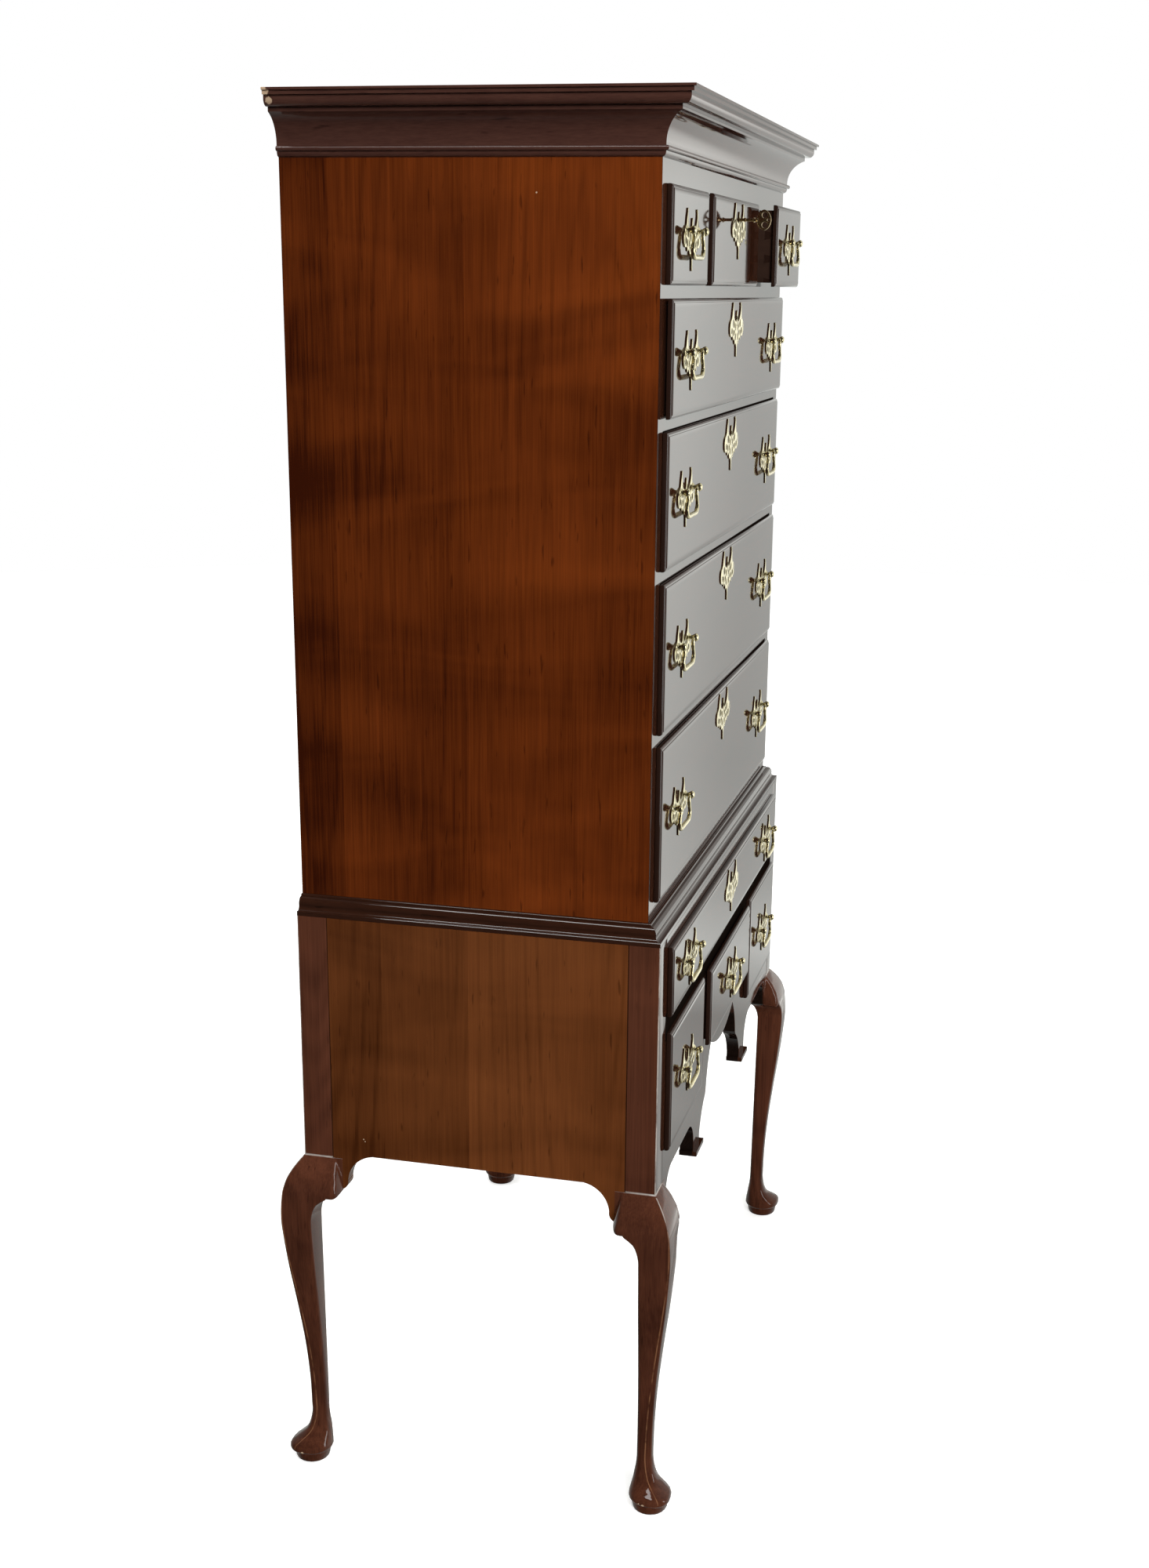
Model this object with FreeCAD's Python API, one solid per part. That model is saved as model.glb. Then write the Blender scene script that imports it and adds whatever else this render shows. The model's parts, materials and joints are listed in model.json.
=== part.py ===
import FreeCAD, Part
import math
import os

# Flat-top highboy in cherry: a chest of drawers with a cornice stands on a table-height base
# with four cabriole legs. Every board, leg, moulding length, brass and key is a solid.
#
# Frame: millimetres, +Z up, the front faces -Y, the floor is Z = 0 and X = 0 is the plane of
# symmetry. Pieces are drawn with the backs of both cases at Y = 0; save() then moves each one
# back by half the base's depth, so that the stored origin lies under the middle of the four feet.

V = FreeCAD.Vector
UP = V(0, 0, 1)

# ---- Driving dimensions: the two cases --------------------------------------------------------
UPPER_WIDTH = 890.0        # upper case over its side boards
UPPER_DEPTH = 472.0        # upper case, front face to back
WAIST_STEP = 21.0          # the base stands out from the upper case, each side and in front
SIDE_T = 19.0              # case side boards and side panels
BACK_T = 12.0              # back boards
BOARD_T = 14.0             # top and bottom boards of the upper case
STILE_W = 34.0             # from the upper case's outer face to the drawer rows' openings
TOP_CENTRE = 166.0         # half the clear width of the top row's centre drawer
TOP_DIVIDER = 34.0         # upright between two drawers of the top row
RAIL_T = 27.5              # height of a rail between two rows
RAIL_DEPTH = 60.0          # depth of a rail, front to back, in the upper case
STILE_DEPTH = 30.0         # depth of the stile strips behind the front face
UPPER_ROWS = (102.0, 128.0, 156.0, 178.0, 192.0)   # clear heights, from the top row down
UPPER_BOTTOM_RAIL = 50.0   # from the bottom of the upper case to its lowest opening
FRIEZE = 33.0              # from the highest opening to the foot of the cornice
CORNICE_HEIGHT = 75.0
CORNICE_REACH = 47.0       # how far the cornice stands out at its top
WAIST_HEIGHT = 25.5        # moulding round the foot of the upper case

# ---- Driving dimensions: the base -------------------------------------------------------------
KNEE_Z = 468.0             # top of the knees
POST = 41.0                # square post at the head of each leg
FLAT_RISE = 2.0            # the apron's flats above the knee line
PANEL_RISE = 7.0           # the side panels' flats above the knee line
APRON_DEPTH = 47.0         # from the apron's flats to the side drawers' openings
BASE_SMALL = 155.0         # clear height of the small side drawers
BASE_CENTRE = 102.0        # clear height of the small centre drawer
LOW_CENTRE = 155.0         # half its clear width
LOW_DIVIDER = 40.0         # upright between two of the base's small drawers
BASE_RAIL = 35.0           # rail between the small drawers and the long one
BASE_LONG = 84.0           # clear height of the long drawer
BASE_TOP_RAIL = 21.0
APRON_T = 20.0             # thickness of the apron
DROP_X = 187.0             # centre line of each of the apron's two drops
DROP_REACH = 59.5          # how far a drop hangs below the flats, with its pad
DROP_HALF = 21.5           # half the width of a drop above its pad
PAD_HALF = 26.0            # half the width of the pad under a drop
PAD_T = 8.0                # height of that pad
PAD_OUT = 6.0              # how far it stands out in front of the apron
PAD_SLOPE = 1.5            # chamfer under the pads
ARCH_RISE = 71.0           # the two peaks beside the middle lobe, above the flats
LOBE_RISE = 50.0           # the middle lobe, above the flats
BRACKET_DROP = 53.5        # how far apron and panels reach down beside a leg
BRACKET_FOOT = 21.5        # width of that reach above its rounded end
BRACKET_SPAN = 57.0        # width of that reach at the flats
BLOCK_W = 14.0             # a knee block at its widest, on the board behind it

# ---- Driving dimensions: legs -----------------------------------------------------------------
FOOT_REACH = 1.4           # the foot's centre, outside the base's corner each way
FOOT_R = 29.2              # pad foot at its rim
DISC_R = 24.0              # disc under the pad
RIM_Z = 22.0               # height of the rim
DISC_Z = 14.5              # height of the disc
ANKLE = 22.1               # thickness at the ankle
ANKLE_OUT = 2.3            # the ankle's outer face, outside the base's corner
KNEE_REACH = 27.3          # how far a knee stands out from the post

# ---- Driving dimensions: drawers --------------------------------------------------------------
LIP_OVERLAP = 6.0          # the front laps over its opening by this, all round
LIP_T = 7.6                # thickness of the lapping edge
FIELD_RISE = 0.8           # the flat field stands above the rounded edge
EDGE_R = 4.0               # radius of the rounded edge
CORE_T = 13.0              # the part of the front that enters the opening
BOX_SIDE_T = 11.0          # drawer sides and backs
BOTTOM_T = 6.0
BOTTOM_UP = 10.0           # groove for the bottom, above the side's lower edge
GROOVE = 5.0               # depth of that groove
TAIL_L = 9.0               # length of a dovetail at the front of a side
TAIL_PITCH = 36.0          # about this from one dovetail to the next
TAIL_SHARE = 0.31          # half a dovetail's neck, as a share of the pitch
TAIL_SPLAY = 1.8           # a dovetail's end is this much wider on each side
RUNNER_W = 36.0
RUNNER_T = 16.0
GUIDE_H = 22.0             # guide strips between the small drawers

# ---- Driving dimensions: brass ----------------------------------------------------------------
PULL_INWARD = 6.0          # side pulls, inward of the outer small drawers' centres
BORE = 38.0                # half the distance between a pull's two posts
PLATE_T = 1.6
PLATE_HALF_W = 52.0
PLATE_UP = 34.5            # prongs above the plate's centre
PLATE_DOWN = 35.5          # tip below it
POST_UP = 9.0              # posts above the plate's centre
POST_OUT = 9.0             # bail's axis in front of the drawer face
KNOB_R = 5.2               # round head of a post
SHANK_R = 3.2
STUD_R = 2.2               # the post's stud through the drawer front
NUT_R = 5.0
NUT_T = 3.0
PIN_R = 1.7                # end of a bail in its post
BAIL_R = 2.3               # bail rod
BAIL_DROP = 36.0
PLATE_FROM_LIP = 40.5      # escutcheon's centre below the top of its drawer front
KEY_UP = 13.5              # keyhole above the escutcheon's centre
KEY_R = 2.0                # key's shaft
KEY_OUT = 43.0             # key's length in front of the escutcheon
BIT_R = 9.0                # tip of the key's bit from its axis
BIT_T = 2.4
BOLT_TRAVEL = 7.0
LOCK_PLAY = 2.4            # a locked drawer can still be drawn forward by this

# ---- Clearances -------------------------------------------------------------------------------
DRAWER_GAP = 1.0           # drawer to opening, at each side and on top
RUN_GAP = 0.3              # drawer on its runner, front against the case
FIT_GAP = 0.2              # bottoms in grooves, keys and bolts in their ways
HINGE_GAP = 0.08           # bail's pin in its post and key in its lock, on the radius
CASE_GAP = 0.5             # upper case inside the waist moulding
KNEE_EASE = 0.8            # knee behind the line of its post, so that panels lie flush

# ---- What follows from them -------------------------------------------------------------------
HALF_U = UPPER_WIDTH / 2
HALF_B = HALF_U + WAIST_STEP
BASE_DEPTH = UPPER_DEPTH + WAIST_STEP
FLAT_Z = KNEE_Z + FLAT_RISE
SMALL_Z = FLAT_Z + APRON_DEPTH                     # foot of the side drawers' openings
SMALL_TOP = SMALL_Z + BASE_SMALL
LONG_Z = SMALL_TOP + BASE_RAIL
LONG_TOP = LONG_Z + BASE_LONG
BASE_TOP = LONG_TOP + BASE_TOP_RAIL                # the upper case stands here
ROWS_FOOT = BASE_TOP + UPPER_BOTTOM_RAIL
ROWS_TOP = ROWS_FOOT + sum(UPPER_ROWS) + RAIL_T * (len(UPPER_ROWS) - 1)
CORNICE_Z = ROWS_TOP + FRIEZE
TOTAL_HEIGHT = CORNICE_Z + CORNICE_HEIGHT
OPENING_HALF = HALF_U - STILE_W                    # half the clear width that the rows share
TOP_IN = TOP_CENTRE + TOP_DIVIDER                  # inner edge of the top side drawers' openings
LOW_IN = LOW_CENTRE + LOW_DIVIDER                  # the same in the base
PULL_X = (OPENING_HALF + LOW_IN) / 2 + PULL_INWARD     # centre of the side pulls
FACE = LIP_T + RUN_GAP                             # drawer face in front of the case front
TO_MIDDLE = V(0, BASE_DEPTH / 2, 0)                # from drawing place to stored place


# ---- Small helpers ----------------------------------------------------------------------------
def box(x, y, z):
    """A box from three (low, high) pairs."""
    low = V(min(x), min(y), min(z))
    return Part.makeBox(abs(x[1] - x[0]), abs(y[1] - y[0]), abs(z[1] - z[0]), low)


def mirrored(shape):
    """The same piece on the other side of X = 0."""
    return shape.mirror(V(0, 0, 0), V(1, 0, 0))


def both(shape):
    """A piece and its mirror image."""
    return [shape, mirrored(shape)]


def rod(radius, start, direction, length):
    """A round bar."""
    return Part.makeCylinder(radius, length, start, direction)


def outline(points, put):
    """A closed wire; a point is (a, b), or (a, b, c, d) for an arc through (c, d) to (a, b)."""
    edges = []
    here = put(*points[0][:2])
    for point in points[1:] + points[:1]:
        there = put(*point[:2])
        if len(point) == 4:
            edges.append(Part.Arc(here, put(*point[2:]), there).toShape())
        elif here.distanceToPoint(there) > 1e-6:
            edges.append(Part.makeLine(here, there))
        here = there
    return Part.Wire(edges)


def plate(points, put, along):
    """A flat piece with that outline, as thick as the vector along."""
    return Part.Face(outline(points, put)).extrude(along)


def mirror_outline(half):
    """Both halves of an outline that is the same left and right, from its right half."""
    other = []
    for here, nxt in zip(half, half[1:]):
        back = (-here[0], here[1])
        other.append(back + (-nxt[2], nxt[3]) if len(nxt) == 4 else back)
    return half + [(-half[-1][0], half[-1][1])] + other[::-1]


def save(node, solids):
    """One STEP file, of one solid or of a group of separate solids."""
    shape = solids[0].copy() if len(solids) == 1 else Part.makeCompound(solids)
    shape.translate(TO_MIDDLE)
    shape.exportStep("parts/" + node + ".step")
    count = len(shape.Solids)
    ok = shape.isValid() and count == len(solids) and all(s.Volume > 0 for s in shape.Solids)
    print(f"{node}: {count} solids, {'ok' if ok else 'CHECK'}")


# ---- Mouldings --------------------------------------------------------------------------------
def mitred_lengths(profile, half, depth, foot):
    """Front and two side lengths of a moulding round a case; profile is (reach, height)."""
    reach = max(point[0] for point in profile)
    along_y = depth + reach
    side = plate(profile, lambda p, z: V(half + p, 0, foot + z), V(0, -along_y, 0))
    front = plate(profile, lambda p, z: V(-half - reach, -depth - p, foot + z),
                  V(2 * (half + reach), 0, 0))
    low, high = foot - 1, foot + max(point[1] for point in profile) + 1
    wedge = [V(half + reach + 1, -depth - reach - 1, low), V(half - reach, -depth + reach, low),
             V(half + reach + 1, -depth + reach, low)]
    mitre = Part.Face(Part.makePolygon(wedge + wedge[:1])).extrude(V(0, 0, high - low))
    keep = box((half - 1, half + reach + 1), (-depth, 1), (low, high)).fuse(mitre)
    side = side.common(keep)
    front = front.cut(mitre).cut(mirrored(mitre))
    return [front] + both(side)


def cornice_profile():
    """Bed mould, bead, cove, ovolo and two fillets, from the foot up."""
    r, h = CORNICE_REACH, CORNICE_HEIGHT
    return [(0, 0), (3.0, 1.5), (5.0, 7.0, 4.6, 4.0), (5.0, 12.5, 9.0, 9.8),
            (5.0, 16.0), (r - 19.0, h - 25.5, 11.5, h - 39.0), (r - 19.0, h - 20.5),
            (r - 15.0, h - 20.5), (r - 6.5, h - 11.0, r - 8.6, h - 17.8), (r - 6.5, h - 8.0),
            (r - 3.0, h - 8.0), (r - 3.0, h - 3.2), (r, h - 3.2), (r, h), (0, h)]


def waist_profile():
    """Bead, cove and fillet, from the base's top up; the reach is that of the base."""
    r, h = WAIST_STEP, WAIST_HEIGHT
    return [(CASE_GAP, 0), (r, 0), (r, 6.0), (r - 4.0, 6.0), (r - 8.0, 11.5, r - 6.8, 8.2),
            (r - 13.0, h - 3.0, r - 9.0, h - 7.0), (r - 16.0, h - 3.0), (r - 18.4, h, r - 16.8, h - 0.8),
            (CASE_GAP, h)]


# ---- Upper case -------------------------------------------------------------------------------
def upper_openings():
    """Clear (foot, top) heights of the rows, from the top row down."""
    rows, top = [], ROWS_TOP
    for height in UPPER_ROWS:
        rows.append((top - height, top))
        top -= height + RAIL_T
    return rows


def upper_sides():
    side = box((HALF_U - SIDE_T, HALF_U), (-UPPER_DEPTH, 0), (BASE_TOP, TOTAL_HEIGHT - BOARD_T))
    rebate = box((HALF_U - SIDE_T, HALF_U - SIDE_T / 2), (-BACK_T, 0), (BASE_TOP, TOTAL_HEIGHT))
    return both(side.cut(rebate))


def upper_boards():
    """Top and bottom boards, and the runners with their guides."""
    inner = HALF_U - SIDE_T
    top = box((-HALF_U, HALF_U), (-UPPER_DEPTH, 0), (TOTAL_HEIGHT - BOARD_T, TOTAL_HEIGHT))
    bottom = box((-inner, inner), (-UPPER_DEPTH + RAIL_DEPTH, -BACK_T), (BASE_TOP, BASE_TOP + BOARD_T))
    solids = [top, bottom]
    start = -UPPER_DEPTH + RAIL_DEPTH
    for row, (foot, _) in enumerate(upper_openings()):
        middle = (TOP_CENTRE, TOP_IN) if row == 0 else None
        solids += runners(foot, start, -BACK_T, inner, middle)
    return solids


def runners(foot, start, end, outer, middle):
    """Side runners under one row, and a middle pair with guides behind dividers at middle."""
    solids = both(box((OPENING_HALF - RUNNER_W, outer), (start, end), (foot - RUNNER_T, foot)))
    if middle:
        wide = (middle[0] - RUNNER_W / 2, middle[1] + RUNNER_W / 2)
        bed = box(wide, (start, end), (foot - RUNNER_T, foot))
        guide = box(middle, (start, end), (foot, foot + GUIDE_H))
        solids += both(bed.fuse(guide).removeSplitter())
    return solids


def front_frame():
    """Stiles, rails and dividers of the upper front, then those of the base."""
    front = (-UPPER_DEPTH, -UPPER_DEPTH + RAIL_DEPTH)
    inner = HALF_U - SIDE_T
    rows = upper_openings()
    stile = box((OPENING_HALF, inner), (-UPPER_DEPTH, -UPPER_DEPTH + STILE_DEPTH),
                (ROWS_FOOT, ROWS_TOP))
    solids = both(stile)
    width = (-OPENING_HALF, OPENING_HALF)
    solids.append(box((-inner, inner), front, (BASE_TOP, ROWS_FOOT)))
    solids.append(top_rail(inner, front))
    for (foot, _), (_, top) in zip(rows, rows[1:]):
        solids.append(box(width, front, (top, foot)))
    solids += both(box((TOP_CENTRE, TOP_IN), front, rows[0]))
    return solids + base_frame()


def top_rail(inner, front):
    """The frieze rail, with the mortise that the lock's bolt rises into."""
    rail = box((-inner, inner), front, (ROWS_TOP, TOTAL_HEIGHT - BOARD_T))
    x, y = bolt_plan()
    mortise = box((x[0] - 1, x[1] + 1), (y[0] - 1 - LOCK_PLAY, y[1] + 1),
                  (ROWS_TOP - 1, ROWS_TOP + BOLT_TRAVEL + 3))
    return rail.cut(mortise)


# ---- Base -------------------------------------------------------------------------------------
def base_frame():
    """Stile strips beside the posts, the base's rails and the dividers of its small drawers."""
    front = (-BASE_DEPTH, -BASE_DEPTH + POST)
    inner = HALF_B - POST
    strip = box((OPENING_HALF, inner), (-BASE_DEPTH, -BASE_DEPTH + STILE_DEPTH),
                (SMALL_Z, LONG_TOP))
    width = (-OPENING_HALF, OPENING_HALF)
    solids = both(strip)
    solids.append(box((-inner, inner), front, (LONG_TOP, BASE_TOP)))
    solids.append(box(width, front, (SMALL_TOP, LONG_Z)))
    solids += both(box((LOW_CENTRE, LOW_IN), front, (SMALL_Z, SMALL_TOP)))
    return solids


def base_boards():
    """Top frame under the upper case, and the base's runners."""
    outer = HALF_B - SIDE_T
    start, end = -BASE_DEPTH + POST, -POST
    shelf = box((OPENING_HALF - RUNNER_W, outer), (start, end), (BASE_TOP - RUNNER_T, BASE_TOP))
    solids = both(shelf)
    solids += runners(LONG_Z, start, end, outer, None)
    solids += runners(SMALL_Z, start, end, outer, (LOW_CENTRE, LOW_IN))
    guide = box((OPENING_HALF + DRAWER_GAP / 2, outer), (start, end), (SMALL_Z, SMALL_Z + GUIDE_H))
    solids += both(guide)
    # The middle runners of the small drawers reach back to the back board.
    return [lengthen(solid, end, -BACK_T) for solid in solids]


def lengthen(solid, end, new_end):
    """Carry a runner that is clear of the rear posts on to the back board."""
    bounds = solid.BoundBox
    if max(abs(bounds.XMin), abs(bounds.XMax)) > HALF_B - POST:
        return solid
    more = [face.extrude(V(0, new_end - end, 0)) for face in solid.Faces
            if abs(face.BoundBox.YMin - end) < 1e-6 and face.BoundBox.YLength < 1e-6]
    return solid.fuse(more).removeSplitter()


def bracket_run(edge, flat, sign):
    """Outline points from a flat down to the rounded foot of the bracket beside a post at edge."""
    at = lambda away, down: (edge - sign * away, flat - down)
    low = BRACKET_DROP
    return [at(BRACKET_SPAN, 0),
            at(BRACKET_FOOT, low - 15.5) + at(BRACKET_FOOT + 10.5, 13.5),      # hollow
            at(BRACKET_FOOT - 11.5, low) + at(BRACKET_FOOT - 3.0, low - 4.5),  # rounded end
            at(0, low)]


def reverse_run(run):
    """The same outline points in the other direction."""
    turned_round = []
    for here, before in zip(run[::-1], [None] + run[:0:-1]):
        turned_round.append(here[:2] + (before[2:] if before else ()))
    return turned_round


def side_panels():
    """Side panels of the base, with a shaped lower edge between the legs."""
    flat = KNEE_Z + PANEL_RISE
    front, back = -BASE_DEPTH + POST, -POST
    points = [(back, BASE_TOP), (front, BASE_TOP)]
    points += reverse_run(bracket_run(front, flat, -1)) + bracket_run(back, flat, 1)
    put = lambda y, z: V(HALF_B - SIDE_T, y, z)
    return both(plate(points, put, V(SIDE_T, 0, 0)))


def apron():
    """The front apron: two drops, a middle lobe between two peaks, flats and brackets."""
    edge = HALF_B - POST
    flat, drop, d, w = FLAT_Z, FLAT_Z - DROP_REACH + PAD_T, DROP_X, DROP_HALF
    half = [(0, flat + LOBE_RISE),
            (d - 98.5, flat + ARCH_RISE, d - 142, flat + LOBE_RISE + 6),   # lobe, up to the peak
            (d - 65, flat + 8, d - 77, flat + 43),                         # down beside the peak
            (d - 60, flat + 2),
            (d - w, drop + 8, d - w - 14, flat - 18),                      # hollow to the drop
            (d - w, drop), (d + w, drop), (d + w, drop + 8),
            (d + 60, flat, d + w + 10, flat - 14)]                         # hollow on its outer side
    half += bracket_run(edge, flat, 1)
    half += [(edge, SMALL_Z), (LOW_CENTRE, SMALL_Z), (LOW_CENTRE, centre_foot())]
    put = lambda x, z: V(x, -BASE_DEPTH, z)
    return [plate(mirror_outline(half), put, V(0, APRON_T, 0))]


def apron_pads():
    """A flat pad under each drop; its ends and front are chamfered below."""
    low = FLAT_Z - DROP_REACH
    back, front = -BASE_DEPTH + APRON_T, -BASE_DEPTH - PAD_OUT
    side_view = [(back, low), (front + PAD_SLOPE, low), (front, low + PAD_SLOPE), (front, low + PAD_T),
                 (back, low + PAD_T)]
    end_view = [(-PAD_HALF + PAD_SLOPE, low), (PAD_HALF - PAD_SLOPE, low),
                (PAD_HALF, low + PAD_SLOPE), (PAD_HALF, low + PAD_T), (-PAD_HALF, low + PAD_T),
                (-PAD_HALF, low + PAD_SLOPE)]
    pad = plate(side_view, lambda y, z: V(DROP_X - PAD_HALF, y, z), V(2 * PAD_HALF, 0, 0))
    ends = plate(end_view, lambda x, z: V(DROP_X + x, front, z), V(0, back - front, 0))
    return both(pad.common(ends))


def centre_foot():
    """Foot of the small centre drawer's opening."""
    return SMALL_TOP - BASE_CENTRE


def back_boards():
    """Back of the upper case in its rebates, and back of the base between the rear posts."""
    edge = HALF_U - SIDE_T / 2
    upper = box((-edge, edge), (-BACK_T, 0), (BASE_TOP, TOTAL_HEIGHT - BOARD_T))
    edge = HALF_B - POST
    lower = box((-edge, edge), (-BACK_T, 0), (FLAT_Z, BASE_TOP))
    return [upper, lower]


# ---- Legs -------------------------------------------------------------------------------------
def knee_stations():
    """(height from the knee line, outer reach, inner reach) down to the top of the shin."""
    inner = -POST + KNEE_EASE
    return [(0.0, 0.4, inner), (-8.0, 7.0, inner), (-17.0, 13.4, inner), (-30.0, 20.2, inner),
            (-45.0, 24.4, inner + 1.2), (-53.0, 25.6, -POST + 8.0), (-62.0, 26.5, -POST + 17.5),
            (-82.0, KNEE_REACH, -POST + 24.0), (-104.0, 26.6, -POST + 24.8)]


def leg_stations():
    """(height, outer reach, inner reach, outer corner radius, other corner radius)."""
    knee = knee_stations()
    stations = [(KNEE_Z + z, out, inn, 2.0, 3.0) for z, out, inn in knee]
    ankle_z, (shin_z, shin_out, shin_in) = 82.0, knee[-1]
    shin_z += KNEE_Z
    for share in (0.2, 0.42, 0.64, 0.84, 1.0):
        z = shin_z + (ankle_z - shin_z) * share
        out = shin_out + (ANKLE_OUT - shin_out) * math.sin(math.pi / 2 * share) ** 1.3
        inn = shin_in + (ANKLE_OUT - ANKLE - shin_in) * share
        stations.append((z, out, inn, 2.0 + 3.0 * share, 3.0 + 6.0 * share))
    # From the ankle the section rounds off, moves out to the foot's centre and opens to the rim.
    start = ANKLE_OUT - ANKLE / 2
    for z, move, radius in ((69.0, 0.0, ANKLE / 2 + 0.6), (57.0, 0.03, 13.1), (46.5, 0.10, 15.6),
                            (38.5, 0.28, 18.6), (30.5, 0.66, 24.2), (RIM_Z, 1.0, FOOT_R),
                            (DISC_Z, 1.0, FOOT_R - 1.0)):
        centre = start + (FOOT_REACH - start) * move
        corner = 0.97 * radius
        stations.append((z, centre + radius, centre - radius, 0.72 * radius, corner))
    return stations


def leg_section(z, out, inn, outer_r, other_r):
    """Rounded square about the diagonal of the corner (0, 0), at height z."""
    corners = [(out, out, outer_r), (out, inn, other_r), (inn, inn, other_r), (inn, out, other_r)]
    count = len(corners)
    edges, ends = [], []
    for i, (x, y, r) in enumerate(corners):
        before, after = corners[i - 1], corners[(i + 1) % count]
        to_before = V(before[0] - x, before[1] - y, 0).normalize()
        to_after = V(after[0] - x, after[1] - y, 0).normalize()
        here = V(x, y, z)
        enter, leave = here + to_before * r, here + to_after * r
        middle = here + (to_before + to_after) * (r * (1 - math.sqrt(0.5)))
        ends.append((enter, middle, leave))
    for i, (enter, middle, leave) in enumerate(ends):
        edges.append(Part.Arc(enter, middle, leave).toShape())
        edges.append(Part.makeLine(leave, ends[(i + 1) % count][0]))
    return Part.Wire(edges)


def leg():
    """One leg for the corner at (0, 0), outwards along +X and +Y: post, cabriole, foot, disc."""
    wires = [leg_section(*station) for station in leg_stations()]
    shape = Part.makeLoft(wires, True, False)
    centre = V(FOOT_REACH, FOOT_REACH, 0)
    disc = Part.makeCone(DISC_R - 1.5, DISC_R, 3.0, centre)
    flare = Part.makeCone(DISC_R, DISC_R + 2.0, DISC_Z - 3.0, centre + UP * 3.0)
    post = box((-POST, 0), (-POST, 0), (KNEE_Z, BASE_TOP))
    return post.fuse([shape, flare, disc])


def legs():
    """Front and rear pairs."""
    one = leg()
    rear = one.copy()
    rear.translate(V(HALF_B, 0, 0))
    front = one.mirror(V(0, 0, 0), V(0, 1, 0))
    front.translate(V(HALF_B, -BASE_DEPTH, 0))
    return both(front), both(rear)


def knee_block():
    """Carved block beside a knee: grows along +X from the post's edge, outwards along -Y."""
    widths = [(-2.0, 0.10), (-6.0, 0.25), (-13.0, 0.46), (-20.0, 0.64), (-28.0, 0.82), (-36.0, 0.95),
              (-43.0, 1.0), (-48.0, 0.94), (-51.0, 0.80), (-53.0, 0.60)]
    wires = [block_section(KNEE_Z + z, share * BLOCK_W, knee_reach(z)) for z, share in widths]
    return Part.makeLoft(wires, True, False)


def knee_reach(z):
    """How far a knee stands out at a height from the knee line, between its stations."""
    knee = knee_stations()
    for (high, above, _), (low, below, _) in zip(knee, knee[1:]):
        if low <= z <= high:
            return below + (above - below) * (z - low) / (high - low)
    return knee[-1][1]


def block_section(z, width, reach):
    """Quarter of an ellipse, from (width, 0) to (0, -reach), closed along the two boards."""
    steps = 8
    angles = [math.pi / 2 * i / steps for i in range(steps + 1)]
    arc = Part.BSplineCurve()
    arc.interpolate([V(width * math.cos(a), -reach * math.sin(a), z) for a in angles])
    corner = V(0, 0, z)
    return Part.Wire([arc.toShape(), Part.makeLine(V(0, -reach, z), corner),
                      Part.makeLine(corner, V(width, 0, z))])


def knee_blocks():
    """Two blocks beside each front leg and one beside each rear leg."""
    one = knee_block()
    front = one.mirror(V(0, 0, 0), V(1, 0, 0))
    front.translate(V(HALF_B - POST, -BASE_DEPTH, 0))
    on_side = one.copy()
    on_side.rotate(V(0, 0, 0), UP, 90)
    fore = on_side.copy()
    fore.translate(V(HALF_B, -BASE_DEPTH + POST, 0))
    aft = on_side.mirror(V(0, 0, 0), V(0, 1, 0))
    aft.translate(V(HALF_B, -POST, 0))
    return [solid for block in (front, fore, aft) for solid in both(block)]


# ---- Drawers ----------------------------------------------------------------------------------
def drawer_list():
    """Every drawer: name, clear x, clear z, case depth, pulls' x, lock plate or not, rest opening."""
    rows = upper_openings()
    wide = (-OPENING_HALF, OPENING_HALF)
    left, right = (-OPENING_HALF, -TOP_IN), (TOP_IN, OPENING_HALF)
    low_left, low_right = (-OPENING_HALF, -LOW_IN), (LOW_IN, OPENING_HALF)
    pair = (-PULL_X, PULL_X)
    upper, base = UPPER_DEPTH, BASE_DEPTH
    small = (SMALL_Z, SMALL_TOP)
    return [
        ("top_left", left, rows[0], upper, (-PULL_X,), False, 0.0),
        ("top_centre", (-TOP_CENTRE, TOP_CENTRE), rows[0], upper, (), True, LOCK_PLAY),
        ("top_right", right, rows[0], upper, (PULL_X,), False, 26.0),
        ("second", wide, rows[1], upper, pair, True, 3.0),
        ("third", wide, rows[2], upper, pair, True, 0.0),
        ("fourth", wide, rows[3], upper, pair, True, 0.0),
        ("fifth", wide, rows[4], upper, pair, True, 0.0),
        ("base_long", wide, (LONG_Z, LONG_TOP), base, pair, True, 0.0),
        ("base_left", low_left, small, base, (-PULL_X,), False, 0.0),
        ("base_centre", (-LOW_CENTRE, LOW_CENTRE), (centre_foot(), SMALL_TOP), base, (0.0,), False, 4.0),
        ("base_right", low_right, small, base, (PULL_X,), False, 0.0),
    ]


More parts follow.
